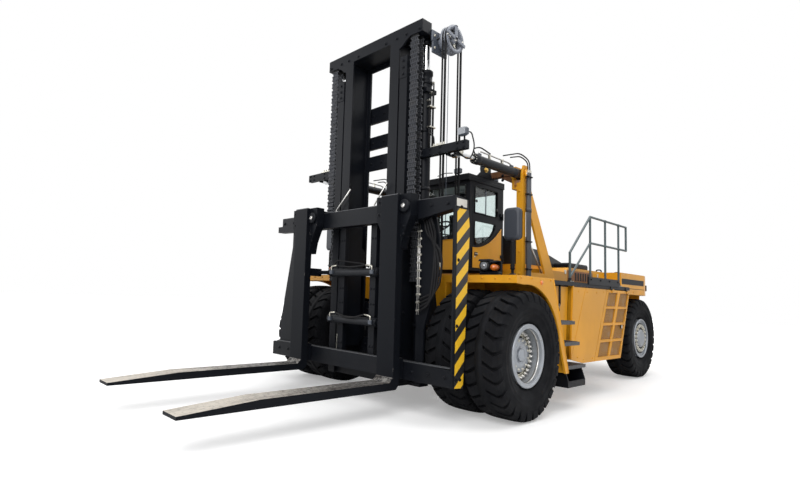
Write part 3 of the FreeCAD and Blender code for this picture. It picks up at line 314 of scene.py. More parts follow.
class Finish:
    """A surface finish that makes its material once and hands it out."""

    title: str

    def material(self) -> Material:
        """The finish's material, made the first time that it is asked for."""
        found = bpy.data.materials.get(self.title)
        if found:
            return found
        made = bpy.data.materials.new(self.title)
        made.use_nodes = True
        made.node_tree.nodes.clear()
        wires = Wiring(made.node_tree)
        shader = wires.add("BsdfPrincipled")
        result = wires.add("OutputMaterial")
        made.node_tree.links.new(shader.outputs[0], result.inputs["Surface"])
        for name, value in self.dress(wires).items():
            wires.feed(shader.inputs[name], value)
        return made

    def dress(self, wires: Wiring) -> dict[str, Socket]:
        """What the Principled shader's named inputs take, as values or sockets."""
        raise NotImplementedError

    @staticmethod
    def relief(wires: Wiring, height: Socket, strength: float, depth: float,
               rounding: float = 0.0) -> NodeSocket:
        """A normal from a height, over softened edges.

        Args:
            wires: adds nodes to the material's tree.
            height: the height's socket.
            strength: how strong the relief is, from 0 to 1.
            depth: the height of 1, in metres.
            rounding: the radius that sharp edges look rounded to, in metres.

        Returns:
            The normal's socket.
        """
        bump = wires.add("Bump", {"Strength": strength, "Distance": depth, "Height": height})
        if rounding:
            soft = wires.add("Bevel", {"Radius": rounding}, samples=4)
            wires.feed(bump.inputs["Normal"], soft.outputs[0])
        return bump.outputs[0]


DUST: Colour = (0.36, 0.31, 0.25)
NIGHT: Colour = (0.0042, 0.0052, 0.0078)
SPRAYED: dict[str, object] = dict(
    colour=(0.73, 0.33, 0.012), roughness=0.42, wear=0.18, dust=0.06, reach=1.2, coat=0.08,
    streaks=0.08, gloss=0.35)


@dataclass(frozen=True)
class Paint(Finish):
    """Sprayed paint over steel, with grain, rubbed corners, rain marks and dust."""

    title: str
    colour: Colour
    bare: Colour = (0.16, 0.15, 0.14)
    roughness: float = 0.42
    wear: float = 0.35
    dust: float = 0.35
    reach: float = 1.5
    streaks: float = 0.12
    coat: float = 0.0
    rounding: float = 0.006
    metallic: float = 0.0
    gloss: float = 0.5

    def paint_and_shade_colour(self, wires: Wiring) -> Socket:
        """The clean paint's colour, or its socket."""
        return self.colour

    def dress(self, wires: Wiring) -> dict[str, Socket]:
        """Paint colour with a slow change of tone, then wear, streaks and dust over it."""
        grain = Grain.use(wires, Scale=190.0, Drift=1.1)
        tone = wires.ramp(grain.outputs["Tone"], 0.3, 0.7, 0.9, 1.08)
        base = wires.add("Mix", {0: 1.0, 6: self.paint_and_shade_colour(wires), 7: tone}, data_type="RGBA",
                         blend_type="MULTIPLY").outputs[2]
        marks = wires.times(Streaks.use(wires).outputs["Mask"], self.streaks)
        base = wires.blend(marks, base, tinted(self.colour, 0.45))
        worn = EdgeWear.use(wires, Radius=0.007, Amount=self.wear).outputs["Mask"]
        base = wires.blend(worn, base, self.bare)
        dusty = RoadDust.use(wires, Amount=self.dust, Reach=self.reach).outputs["Mask"]
        rough = wires.between(dusty, wires.between(worn, self.roughness, 0.55), 0.9)
        return {
            "Base Color": wires.blend(dusty, base, DUST), "Roughness": rough,
            "Metallic": self.metallic, "Specular IOR Level": self.gloss, "Coat Weight": self.coat,
            "Coat Roughness": 0.15,
            "Normal": self.relief(wires, grain.outputs["Height"], 0.12, 0.0015, self.rounding)}


@dataclass(frozen=True)
class ShadedMiddlePaint(Paint):
    """Paint that changes to a painted shade near the truck's middle: the towers' inner faces and
    the cross beam between them are drawn dark brown for the shadow they lie in.
    """

    # painted shade: the dark brown of the yellow paint in shadow between the towers
    middle: Colour = (0.115, 0.05, 0.022)
    shade_reach_x: float = 1.243

    def paint_and_shade_colour(self, wires: Wiring) -> Socket:
        """The painted shade within a distance of the middle, and the paint's colour outside it."""
        across = wires.math("ABSOLUTE", wires.split(wires.place())[0])
        return wires.blend(wires.math("LESS_THAN", across, self.shade_reach_x), self.colour, self.middle)


@dataclass(frozen=True)
class DomePaint(Paint):
    """Paint that changes to black over the raised middle of the hood."""

    middle: Colour = NIGHT
    half: float = 0.905
    level: float = 2.186

    def paint_and_shade_colour(self, wires: Wiring) -> Socket:
        """Black above a height and within a distance of the middle."""
        x, _, z = wires.split(wires.place())
        inside = wires.math("LESS_THAN", wires.math("ABSOLUTE", x), self.half)
        raised = wires.math("GREATER_THAN", z, self.level)
        return wires.blend(wires.times(inside, raised), self.colour, self.middle)


@dataclass(frozen=True)
class TreadPlate(Finish):
    """Steel sheet with a raised pattern of crossed bars."""

    title: str
    colour: Colour = (0.01, 0.011, 0.013)
    worn: Colour = (0.05, 0.049, 0.05)

    def dress(self, wires: Wiring) -> dict[str, Socket]:
        """Crossed raised bars, worn bright on their tops, with dirt between them."""
        spot = wires.place()
        x, y, _ = wires.split(spot)
        bars = []
        for sign in (1.0, -1.0):
            along = wires.math("ADD", x, wires.times(y, sign))
            bars.append(wires.math("SINE", wires.times(along, 95.0)))
        raised = wires.ramp(wires.math("MAXIMUM", *bars), 0.72, 0.95)
        scuffs = wires.ramp(wires.noise(spot, 5.0, 6.0, 0.65), 0.42, 0.66, 0.15, 0.95)
        return {"Base Color": wires.blend(wires.times(raised, scuffs), self.colour, self.worn),
                "Roughness": wires.between(raised, 0.75, 0.5), "Specular IOR Level": 0.2,
                "Normal": self.relief(wires, raised, 0.7, 0.003)}


@dataclass(frozen=True)
class Perforated(Finish):
    """Painted sheet with rows of round holes, behind a grille's frame."""

    title: str
    colour: Colour = (0.42, 0.185, 0.012)
    hole: Colour = (0.085, 0.04, 0.006)
    pitch: float = 0.016

    def dress(self, wires: Wiring) -> dict[str, Socket]:
        """Dark holes in rows, with dust caught in patches."""
        spot = wires.place()
        _, y, z = wires.split(spot)
        waves = [wires.math("SINE", wires.times(v, FULL_TURN / self.pitch)) for v in (y, z)]
        holes = wires.ramp(wires.times(*waves), 0.02, 0.3)
        dust = wires.ramp(wires.noise(spot, 6.0, 5.0, 0.6), 0.45, 0.72, 0.0, 0.3)
        base = wires.blend(holes, self.colour, self.hole)
        return {"Base Color": wires.blend(dust, base, DUST),
                "Roughness": wires.between(holes, 0.5, 0.8),
                "Normal": self.relief(wires, wires.math("SUBTRACT", 1.0, holes), 0.5, 0.002)}


@dataclass(frozen=True)
class Metal(Finish):
    """Bare or plated metal with fine scratches and a little grime."""

    title: str
    colour: Colour
    roughness: float = 0.3
    grime: Colour = (0.1, 0.09, 0.08)
    grimy: float = 0.3
    scratch: float = 60.0
    rounding: float = 0.004
    metallic: float = 1.0

    def dress(self, wires: Wiring) -> dict[str, Socket]:
        """Metal colour and gloss, broken up by scratches and patches of grime."""
        spot = wires.place()
        patches = wires.ramp(wires.noise(spot, 9.0, 6.0, 0.65), 0.48, 0.72, 0.0, self.grimy)
        fine = wires.noise(spot, self.scratch, 4.0, 0.7)
        low, high = self.roughness * 0.75, self.roughness * 1.25
        return {"Base Color": wires.blend(patches, self.colour, self.grime),
                "Roughness": wires.math("ADD", wires.ramp(fine, 0.3, 0.7, low, high),
                                        wires.times(patches, 0.4), clamp=True),
                "Metallic": self.metallic,
                "Normal": self.relief(wires, fine, 0.08, 0.001, self.rounding)}


@dataclass(frozen=True)
class Rubber(Finish):
    """Black rubber with moulded grain and dried dust."""

    title: str
    colour: Colour = (0.0048, 0.0052, 0.0066)
    roughness: float = 0.78
    dust: float = 0.3
    reach: float = 2.2
    grain: float = 160.0

    def dress(self, wires: Wiring) -> dict[str, Socket]:
        """Rubber colour with a patchy bloom and dust."""
        surface = Grain.use(wires, Scale=self.grain, Drift=5.0)
        bloom = wires.ramp(surface.outputs["Tone"], 0.35, 0.7, 0.0, 0.5)
        base = wires.blend(bloom, self.colour, tinted(self.colour, 1.6, 0.003))
        dusty = RoadDust.use(wires, Amount=self.dust, Reach=self.reach, Scale=6.0)
        return {"Base Color": wires.blend(dusty.outputs["Mask"], base, (0.07, 0.066, 0.064)),
                "Roughness": wires.between(bloom, self.roughness, 0.62), "Specular IOR Level": 0.1,
                "Normal": self.relief(wires, surface.outputs["Height"], 0.3, 0.002)}


@dataclass(frozen=True)
class Plastic(Finish):
    """Moulded plastic with a fine leather grain."""

    title: str
    colour: Colour
    roughness: float = 0.5
    grain: float = 420.0
    relief_depth: float = 0.0008

    def dress(self, wires: Wiring) -> dict[str, Socket]:
        """Plastic colour with a slow change of tone and a moulded grain."""
        surface = Grain.use(wires, Scale=self.grain, Drift=4.0)
        tone = wires.ramp(surface.outputs["Tone"], 0.3, 0.7, 0.0, 1.0)
        return {
            "Base Color": wires.blend(tone, tinted(self.colour, 0.85), tinted(self.colour, 1.15)),
            "Roughness": wires.between(tone, self.roughness * 0.9, self.roughness * 1.1),
            "Normal": self.relief(wires, surface.outputs["Height"], 0.25, self.relief_depth, 0.003)}


@dataclass(frozen=True)
class Pane(Finish):
    """Tinted safety glass."""

    title: str
    colour: Colour = (0.8, 0.87, 0.86)

    def dress(self, wires: Wiring) -> dict[str, Socket]:
        """Clear tinted glass with a trace of dust that changes its gloss."""
        film = wires.ramp(wires.noise(wires.place(), 5.0, 6.0, 0.6), 0.5, 0.8, 0.0, 0.05)
        return {
            "Base Color": self.colour, "Roughness": film, "Transmission Weight": 1.0, "IOR": 1.02,
            "Specular IOR Level": 1.0, "Coat Weight": 0.7, "Coat IOR": 1.45, "Coat Roughness": 0.02}


@dataclass(frozen=True)
class Lens(Finish):
    """A ribbed lamp lens."""

    title: str
    colour: Colour
    ribs: float = 260.0

    def dress(self, wires: Wiring) -> dict[str, Socket]:
        """Lens colour with moulded ribs."""
        spot = wires.place()
        wave = wires.add(
            "TexWave", {"Vector": spot, "Scale": self.ribs, "Distortion": 0.0}, bands_direction="X")
        shade = wires.blend(wave.outputs["Fac"], tinted(self.colour, 0.7), self.colour)
        return {"Base Color": shade, "Roughness": 0.12, "Coat Weight": 0.6,
                "Normal": self.relief(wires, wave.outputs["Fac"], 0.3, 0.001)}


@dataclass(frozen=True)
class Fabric(Finish):
    """Woven seat cloth."""

    title: str
    colour: Colour = (0.035, 0.036, 0.04)
    threads: float = 900.0

    def dress(self, wires: Wiring) -> dict[str, Socket]:
        """A plain weave of two crossing threads, with lint."""
        spot = wires.place()
        threads = {"Vector": spot, "Scale": self.threads / FULL_TURN}
        weave = wires.math("MAXIMUM", *(
            wires.add("TexWave", threads, bands_direction=way).outputs["Fac"] for way in "XY"))
        lint = wires.ramp(wires.noise(spot, 24.0, 5.0, 0.6), 0.45, 0.75, 0.0, 0.35)
        base = wires.blend(weave, tinted(self.colour, 0.5), self.colour)
        return {"Base Color": wires.blend(lint, base, (0.09, 0.09, 0.1)), "Roughness": 0.92,
                "Sheen Weight": 0.25, "Normal": self.relief(wires, weave, 0.4, 0.0006)}


@dataclass(frozen=True)
class WarningStripes(Finish):
    """Painted slanting bands in two colours, on an upright plate that faces sideways."""

    title: str
    light: Colour = (0.8, 0.47, 0.02)
    dark: Colour = (0.012, 0.012, 0.013)
    pitch: float = 0.265
    slope: float = 0.9

    def dress(self, wires: Wiring) -> dict[str, Socket]:
        """Bands that rise rearward, scuffed in patches."""
        spot = wires.place()
        _, y, z = wires.split(spot)
        along = wires.math("SUBTRACT", z, wires.times(y, self.slope))
        share = wires.math("FRACT", wires.math("DIVIDE", along, self.pitch))
        band = wires.math("GREATER_THAN", share, 0.5)
        scuff = wires.ramp(wires.noise(spot, 30.0, 6.0, 0.7), 0.62, 0.75, 0.0, 0.6)
        base = wires.blend(band, self.dark, self.light)
        return {"Base Color": wires.blend(scuff, base, (0.09, 0.085, 0.08)),
                "Roughness": wires.between(scuff, 0.4, 0.8),
                "Normal": self.relief(wires, wires.noise(spot, 200.0, 2.0), 0.1, 0.001, 0.004)}


@dataclass(frozen=True)
class ForkSteel(Finish):
    """Forged fork steel: painted dark, and rubbed bare and speckled where loads slide."""

    title: str
    paint: Colour = (0.0045, 0.0055, 0.008)
    bare: Colour = (0.26, 0.25, 0.235)
    bright: Colour = (0.6, 0.55, 0.48)
    rust: Colour = (0.055, 0.04, 0.032)
    heel: float = -3.6
    tip: float = -5.4

    def dress(self, wires: Wiring) -> dict[str, Socket]:
        """Bare speckled steel on the upper faces, paint on the others."""
        spot = wires.place()
        up = wires.split(wires.add("NewGeometry").outputs["Normal"])[2]
        _, along, height = wires.split(spot)
        top = wires.times(wires.ramp(up, 0.3, 0.8), wires.ramp(height, 0.8, 0.6))
        tipward = wires.ramp(along, self.heel, self.tip)
        speckle = wires.noise(spot, 26.0, 9.0, 0.72)
        rubbed = wires.math("ADD", wires.ramp(speckle, 0.4, 0.56), wires.times(tipward, 0.7),
                            clamp=True)
        streak = wires.add("Mapping", {"Vector": spot, "Scale": (1.0, 0.12, 1.0)}).outputs[0]
        rusty = wires.ramp(wires.noise(streak, 12.0, 6.0, 0.7), 0.45, 0.62, 0.0,
                           wires.ramp(along, self.heel, self.tip, 0.75, 0.25))
        worn = wires.blend(rusty, wires.blend(tipward, self.bare, self.bright), self.rust)
        edge = EdgeWear.use(wires, Radius=0.008, Amount=0.35, Scale=9.0).outputs["Mask"]
        share = wires.math("MAXIMUM", wires.times(top, rubbed), edge)
        return {"Base Color": wires.blend(share, self.paint, worn),
                "Roughness": wires.between(share, 0.5, 0.48),
                "Metallic": wires.times(share, 0.55), "Specular IOR Level": 0.1,
                "Normal": self.relief(wires, speckle, 0.25, 0.002, 0.008)}


class Coat(Enum):
    """Every finish on the truck."""

    YELLOW = Paint("yellow paint", **SPRAYED)
    BLACK = Paint(
        "black paint", NIGHT, bare=(0.045, 0.048, 0.055), roughness=0.46, wear=0.22, dust=0.03,
        reach=0.9, streaks=0.04, gloss=0.15)
    # the towers' middle takes painted shade
    TOWER = ShadedMiddlePaint("tower paint with painted shade", **SPRAYED)
    HOOD = DomePaint("hood paint", **SPRAYED)
    CHASSIS = Paint(
        "chassis grey", (0.0085, 0.01, 0.0135), bare=(0.07, 0.07, 0.075), roughness=0.5, wear=0.25,
        dust=0.08, gloss=0.25)
    WHEEL = Paint(
        "pulley grey", (0.165, 0.18, 0.215), bare=(0.3, 0.3, 0.3), roughness=0.4, wear=0.4,
        dust=0.1)
    SILVER = Paint(
        "wheel silver", (0.36, 0.385, 0.42), bare=(0.2, 0.2, 0.2), roughness=0.35, wear=0.2,
        dust=0.25, reach=1.9, metallic=0.45)
    RAIL = Paint("handrail paint", (0.06, 0.088, 0.094), bare=(0.12, 0.12, 0.12), roughness=0.4,
                 wear=0.3, dust=0.1)
    # painted shade: the brown of the yellow paint in shadow
    SHADE_BROWN = Paint("painted shade brown", (0.3, 0.125, 0.045), roughness=0.6, wear=0.3, dust=0.25)
    ENGINE = Paint("engine paint", (0.1, 0.12, 0.13), roughness=0.5, wear=0.2, dust=0.3)
    DRUM = Paint("drum grey", (0.06, 0.07, 0.09), roughness=0.4, wear=0.4, dust=0.1)
    STEEL = Metal("machined steel", (0.55, 0.54, 0.52), roughness=0.34)
    CHROME = Metal("chromed steel", (0.72, 0.73, 0.74), roughness=0.12, grimy=0.1)
    ZINC = Metal("zinc fittings", (0.62, 0.6, 0.53), roughness=0.36, grimy=0.35)
    GREASED = Metal("greased steel", (0.052, 0.055, 0.064), roughness=0.42, grimy=0.3, metallic=0.7)
    TYRE = Rubber("tyre rubber", dust=0.1)
    HOSE = Rubber("hose rubber", (0.012, 0.012, 0.013), roughness=0.55, dust=0.08, grain=500.0)
    SEAL = Rubber("window seal", (0.01, 0.01, 0.01), roughness=0.6, dust=0.05, grain=300.0)
    MOULDED = Plastic("moulded plastic", (0.018, 0.018, 0.02))
    TRIM = Plastic("cab trim", (0.06, 0.062, 0.066), roughness=0.6)
    GLASS = Pane("tinted glass")
    AMBER = Lens("amber lens", (0.85, 0.2, 0.015))
    RED = Lens("red lens", (0.55, 0.012, 0.01))
    CLEAR = Lens("clear lens", (0.3, 0.32, 0.35))
    CLOTH = Fabric("seat cloth")
    STRIPES = WarningStripes("warning stripes")
    LABEL = Plastic("bare label", (0.62, 0.6, 0.55), roughness=0.4)
    WORN = Metal("worn edge steel", (0.085, 0.088, 0.095), roughness=0.46, grimy=0.5, metallic=0.6)
    FORKS = ForkSteel("fork steel")
    BRASS = Metal("brass pin", (0.62, 0.42, 0.12), roughness=0.35)
    PIPE = Paint("pipe grey", (0.04, 0.044, 0.054), roughness=0.5, wear=0.2, dust=0.05)
    MIRROR = Paint("mirror grey", (0.026, 0.031, 0.042), roughness=0.5, wear=0.1, dust=0.04)
    LINKS = Plastic("chain links", (0.22, 0.22, 0.21))
    MESH = Perforated("perforated sheet")
    CHEQUER = TreadPlate("tread plate")

    @property
    def material(self) -> Material:
        """The finish's material."""
        return self.value.material()


class NodeCoats:
    """Which finish each construction node takes."""

    coats: dict[Coat, str] = {
        Coat.CHASSIS: "chassis_frame drive_axle steer_axle steer_knuckle fork_cylinders "
                      "tilt_cylinder deck_plate",
        Coat.SILVER: "front_rims rear_rim",
        Coat.TYRE: "front_tyres rear_tyre",
        Coat.BLACK: "outer_mast inner_mast lift_cylinders carriage cab_frame cab_door "
                    "access_steps",
        Coat.CHROME: "lift_rods tilt_rod",
        Coat.GREASED: "lift_chains",
        Coat.DRUM: "hose_pulley",
        Coat.HOSE: "mast_hoses",
        Coat.FORKS: "fork_left fork_right",
        Coat.TOWER: "tilt_towers",
        Coat.GLASS: "cab_windows cab_door_windows",
        Coat.CLOTH: "operator_seat",
        Coat.TRIM: "steering_console",
        Coat.YELLOW: "front_fenders side_panels grille_door counterweight",
        Coat.ENGINE: "engine_block",
        Coat.HOOD: "engine_hood",
        Coat.RAIL: "handrails",
        Coat.MOULDED: "mirrors_and_lamps",
    }

    @classmethod
    def dress(cls, nodes: dict[str, Object]) -> None:
        """Gives each node the material of its finish.

        Args:
            nodes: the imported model's nodes, by name.
        """
        finishes = {word: coat for coat, words in cls.coats.items() for word in words.split()}
        for name, node in nodes.items():
            plain = name.removesuffix("_left").removesuffix("_right")
            coat = finishes.get(name) or finishes[plain]
            node.data.materials.clear()
            node.data.materials.append(coat.material)
            LOG.info("node %s: %s", name, coat.value.title)


# --- shape building


class Shape:
    """One piece's mesh while it is being built, with a finish for each face.

    Its points are (x, station, z), and the finished mesh is moved to the front axle.
    """

    axle: float = 0.0

    def __init__(self, name: str) -> None:
        """Starts an empty mesh for the piece of a name."""
        self.name = name
        self.mesh = bmesh.new()
        self.coats: list[Coat] = []

    def _mark(self, faces: Iterable[bmesh.types.BMFace], coat: Coat, smooth: bool) -> None:
        """Gives faces a finish and a shading."""
        if coat not in self.coats:
            self.coats.append(coat)
        number = self.coats.index(coat)
        for face in faces:
            face.material_index = number
            face.smooth = smooth

    def loft(self, rings: Sequence[Sequence[Spot]], coat: Coat, closed: bool = False,
             capped: bool = True, smooth: bool = True) -> None:
        """Joins rings of points into one skin.

        Args:
            rings: rings with as many points each.
            coat: the finish.
            closed: whether the last ring joins the first.
            capped: whether the end rings are filled.
            smooth: whether the skin is shaded smooth.
        """
        rows = [[self.mesh.verts.new(p) for p in ring] for ring in rings]
        count, faces, ends = len(rows[0]), [], []
        for low, high in zip(rows, rows[1:] + (rows[:1] if closed else [])):
            for i in range(count):
                j = (i + 1) % count
                faces.append(self.mesh.faces.new((low[i], low[j], high[j], high[i])))
        if capped and not closed:
            ends = [self.mesh.faces.new(rows[0][::-1]), self.mesh.faces.new(rows[-1])]
        self._mark(faces, coat, smooth)
        self._mark(ends, coat, False)

    def slab(self, low: Sequence[float], high: Sequence[float], coat: Coat, round_: float = 0.004,
             turn: Matrix | None = None) -> None:
        """A box with chamfered edges.

        Args:
            low: its lowest corner.
            high: its highest corner.
            coat: the finish.
            round_: the chamfer's size.
            turn: moves the finished box.
        """
        centre = [(a + b) / 2 for a, b in zip(low, high)]
        half = [abs(b - a) / 2 for a, b in zip(low, high)]
        r = min(round_, *(h * 0.45 for h in half))
        rings = []
        for z, inset in ((-half[2], r), (-half[2] + r, 0), (half[2] - r, 0), (half[2], r)):
            hx, hy = half[0] - inset, half[1] - inset
            ring = [(-hx, -hy + r), (-hx + r, -hy), (hx - r, -hy), (hx, -hy + r),
                    (hx, hy - r), (hx - r, hy), (-hx + r, hy), (-hx, hy - r)]
            rings.append([Vector((centre[0] + x, centre[1] + y, centre[2] + z)) for x, y in ring])
        if turn is not None:
            rings = [[turn @ p for p in ring] for ring in rings]
        self.loft(rings, coat, smooth=False)

    def turned(self, profile: Sequence[tuple[float, float]], centre: Spot, axis: Vector,
               coat: Coat, steps: int = 48, closed: bool = False, smooth: bool = True) -> None:
        """Turns a profile about an axis.

        Args:
            profile: (distance along the axis, radius) pairs.
            centre: a point on the axis.
            axis: the axis's direction.
            coat: the finish.
            steps: points round the axis.
            closed: whether the profile is a closed loop.
            smooth: whether the skin is shaded smooth.
        """
        turn, middle = axis.to_track_quat("Z", "Y").to_matrix(), Vector(centre)
        angles = [2 * pi * i / steps for i in range(steps)]
        rings = [[middle + turn @ Vector((radius * cos(a), radius * sin(a), along)) for a in angles]
                 for along, radius in profile]
        self.loft(rings, coat, closed=closed, smooth=smooth)

    def tube(self, points: Sequence[Spot], radius: float, coat: Coat, sides: int = 12,
             bend: float = 0.0) -> None:
        """A round tube along a line of points.

        Args:
            points: the line.
            radius: the tube's radius.
            coat: the finish.
            sides: points round the tube.
            bend: the radius that corners are rounded to.
        """
        line = self.rounded(points, bend) if bend else [Vector(p) for p in points]
        rings, side = [], UP
        for i, point in enumerate(line):
            before, after = line[max(i - 1, 0)], line[min(i + 1, len(line) - 1)]
            along = (after - before).normalized()
            across = along.cross(side)
            if across.length < 0.2:
                across = along.cross(LEFT if abs(along.x) < 0.8 else REAR)
            across.normalize()
            side = across.cross(along)
            rings.append([point + radius * (across * cos(a) + side * sin(a))
                          for a in (2 * pi * k / sides for k in range(sides))])
        self.loft(rings, coat)

    @staticmethod
    def rounded(points: Sequence[Spot], bend: float) -> list[Vector]:
        """A line with its corners rounded.

        Args:
            points: the line's corners.
            bend: how far before a corner the rounding starts.

        Returns:
            The rounded line's points.
        """
        corners = [Vector(p) for p in points]
        line = [corners[0]]
        for a, b, c in zip(corners, corners[1:], corners[2:]):
            reach = min(bend, (a - b).length * 0.49, (c - b).length * 0.49)
            start, end = b + (a - b).normalized() * reach, b + (c - b).normalized() * reach
            for t in (k / CORNER_STEPS for k in range(CORNER_STEPS + 1)):
                line.append(start * (1 - t) ** 2 + b * 2 * t * (1 - t) + end * t * t)
        return line + [corners[-1]]

    def hex_bolt(self, spot: Spot, axis: Vector, size: float, coat: Coat,
                 washer: bool = True) -> None:
        """A bolt head with a washer.

        Args:
            spot: where the head meets the surface.
            axis: the way it points.
            size: the width across its flats.
            coat: the finish.
            washer: whether there is a washer under it.
        """
        if washer:
            self.turned(
                ((0, size * 0.85), (size * 0.14, size * 0.85)), spot, axis, coat, 16, smooth=False)
        h = size * 0.62
        self.turned(((0, size * 0.56), (h * 0.85, size * 0.56), (h, size * 0.48)), spot, axis,
                    coat, 6, smooth=False)

    def bolts(self, xs: Span, ys: Span, zs: Span, axis: Vector, size: float,
              coat: Coat = Coat.BLACK, washer: bool = True) -> None:
        """Bolt heads at every mix of the given places.

        Args:
            xs: one distance to the left, or several.
            ys: one station, or several.
            zs: one height, or several.
            axis: the way they point.
            size: the width across their flats.
            coat: the finish.
            washer: whether there is a washer under each.
        """
        spans = [v if isinstance(v, tuple) else (v,) for v in (xs, ys, zs)]
        for spot in product(*spans):
            self.hex_bolt(spot, axis, size, coat, washer)

    def disc(self, low: float, high: float, radius: float, centre: Spot, axis: Vector, coat: Coat,
             steps: int = 20, bore: float = 0.0) -> None:
        """A disc between two distances along its axis, or a ring where it has a bore."""
        profile = ((low, bore), (low, radius), (high, radius), (high, bore))
        self.turned(profile, centre, axis, coat, steps, closed=bore > 0)

    def nut(self, low: float, high: float, radius: float, centre: Spot, axis: Vector) -> None:
        """A plated hexagon, from low to high along an axis."""
        self.turned(((low, radius), (high, radius)), centre, axis, Coat.ZINC, 6, smooth=False)

    def plate(self, outline: Sequence[tuple[float, float]], spot: Vector, normal: Vector,
              up: Vector, thick: float, coat: Coat) -> None:
        """A flat plate of any outline.

        Args:
            outline: (across, up) pairs round the plate.
            spot: the place of the outline's (0, 0), on the plate's back.
            normal: the way the plate's front faces.
            up: the outline's upward direction.
            thick: its thickness.
            coat: the finish.
        """
        n, u = normal.normalized(), up.normalized()
        across = u.cross(n)
        rings = [[spot + across * a + u * b + n * t for a, b in outline] for t in (0.0, thick)]
        self.loft(rings, coat, smooth=False)

    def mirrored(self) -> None:
        """Adds the mirror image on the truck's other side."""
        double = bmesh.ops.duplicate(self.mesh, geom=self.mesh.verts[:] + self.mesh.edges[:]
                                     + self.mesh.faces[:])["geom"]
        verts = [g for g in double if isinstance(g, bmesh.types.BMVert)]
        faces = [g for g in double if isinstance(g, bmesh.types.BMFace)]
        for v in verts:
            v.co.x = -v.co.x
        bmesh.ops.reverse_faces(self.mesh, faces=faces)

    def piece(self, body: str, *replaced: str, slot: str | None = None,
              mirror: bool = False) -> Object:
        """Turns the mesh into an object on a body of the truck.

        Args:
            body: the body that it rides on.
            *replaced: the construction nodes that it stands for.
            slot: the record's material slot; it is not used.
            mirror: whether its mirror image is added first.

        Returns:
            The object.
        """
        if mirror:
            self.mirrored()
        bmesh.ops.recalc_face_normals(self.mesh, faces=self.mesh.faces)
        bmesh.ops.translate(self.mesh, vec=(0.0, Shape.axle, 0.0), verts=self.mesh.verts)
        data = bpy.data.meshes.new(self.name)
        self.mesh.to_mesh(data)
        self.mesh.free()
        for coat in self.coats:
            data.materials.append(coat.material)
        made = placed(self.name, data)
        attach(made, body)
        if replaced:
            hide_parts(*replaced)
        LOG.info("piece %s on %s: %d faces", self.name, body, len(data.polygons))
        return made


# --- the studio


@dataclass
class Studio:
    """Camera, lamps, floor and background."""

    axle: float
    eye: tuple[float, float, float] = (5.436, -6.296, 1.542)
    yaw: float = 49.66
    pitch: float = 4.73
    roll: float = 2.29
    focal: float = 22.832
    shift: tuple[float, float] = (0.09595, 0.01292)

    def camera(self) -> None:
        """Places the camera and makes it the scene's."""
        yaw, pitch, roll = (radians(a) for a in (self.yaw, self.pitch, self.roll))
        ahead = Vector((-sin(yaw) * cos(pitch), cos(yaw) * cos(pitch), sin(pitch)))
        right = ahead.cross(UP).normalized()
        up = right.cross(ahead)
        across = right * cos(roll) + up * sin(roll)
        above = up * cos(roll) - right * sin(roll)
        data = bpy.data.cameras.new("camera")
        data.lens, data.sensor_width = self.focal, 36.0
        data.shift_x, data.shift_y = self.shift
        data.clip_start, data.clip_end = 0.05, 200.0
        made = placed("camera", data)
        turn = Matrix((across, above, -ahead)).transposed().to_4x4()
        spot = Vector((self.eye[0], self.eye[1] + self.axle, self.eye[2]))
        made.matrix_world = Matrix.Translation(spot) @ turn
        bpy.context.scene.camera = made

    def lamp(self, name: str, spot: Vector, aim: Vector, size: float, power: float) -> None:
        """Adds one square soft lamp.

        Args:
            name: its name.
            spot: where it is.
            aim: what it points at.
            size: its width.
            power: its power in watts.
        """
        data = bpy.data.lights.new(name, "AREA")
        data.shape, data.size, data.energy = "SQUARE", size, power
        made = placed(name, data)
        made.location = spot
        made.rotation_euler = (aim - spot).to_track_quat("-Z", "Y").to_euler()

    def world(self) -> None:
        """A plain grey sky for light, which the camera, gloss and glass see as white."""
        world = bpy.data.worlds.new("studio")
        world.use_nodes = True
        world.node_tree.nodes.clear()
        wires = Wiring(world.node_tree)
        path = wires.add("LightPath").outputs
        seen = wires.math(
            "MAXIMUM", wires.math("MAXIMUM", path["Is Camera Ray"], path["Is Glossy Ray"]),
            path["Is Transmission Ray"])
        strength = wires.between(seen, 0.42, 1.0)
        sky = wires.add("Background", {"Color": (1.0, 1.0, 1.0), "Strength": strength})
        out = wires.add("OutputWorld")
        world.node_tree.links.new(sky.outputs[0], out.inputs["Surface"])
        bpy.context.scene.world = world

    def floor(self) -> None:
        """A wide pale floor that keeps the truck's shadow."""
        grid = bmesh.new()
        bmesh.ops.create_grid(grid, x_segments=8, y_segments=8, size=60.0)
        data = bpy.data.meshes.new("floor")
        grid.to_mesh(data)
        grid.free()
        made = placed("floor", data)
        material = bpy.data.materials.new("studio floor")
        material.use_nodes = True
        wires = Wiring(material.node_tree)
        shader = material.node_tree.nodes["Principled BSDF"].inputs
        speckle = wires.ramp(wires.noise(wires.place(), 2.0, 4.0), 0.3, 0.7, 0.0, 1.0)
        wires.feed(shader["Base Color"], wires.blend(speckle, (0.8, 0.8, 0.8), (0.83, 0.83, 0.83)))
        shader["Roughness"].default_value = 0.55
        path = wires.add("LightPath").outputs
        seen = wires.math("MAXIMUM", path["Is Camera Ray"], path["Is Transmission Ray"])
        shader["Emission Color"].default_value = (1.0, 1.0, 1.0, 1.0)
        away = wires.add("VectorMath", {0: wires.place()}, operation="LENGTH").outputs["Value"]
        glow = wires.ramp(away, 4.5, 14.0, 0.3, 1.1)
        wires.feed(shader["Emission Strength"], wires.times(seen, glow))
        data.materials.append(material)

    def build(self) -> None:
        """Builds the whole studio."""
        bpy.context.scene.view_settings.view_transform = "Standard"
        self.camera()
        self.world()
        self.floor()
        aim = Vector((0.0, self.axle + 1.0, 1.6))
        self.lamp("key", Vector((7.0, -13.0, 10.0)), aim, 9.0, 1500.0)
        self.lamp("fill", Vector((-11.0, -9.0, 6.0)), aim, 9.0, 450.0)
        self.lamp("top", Vector((2.0, 1.0, 12.0)), aim, 10.0, 900.0)
        LOG.info("studio: camera, three lamps, floor")


# --- wheels


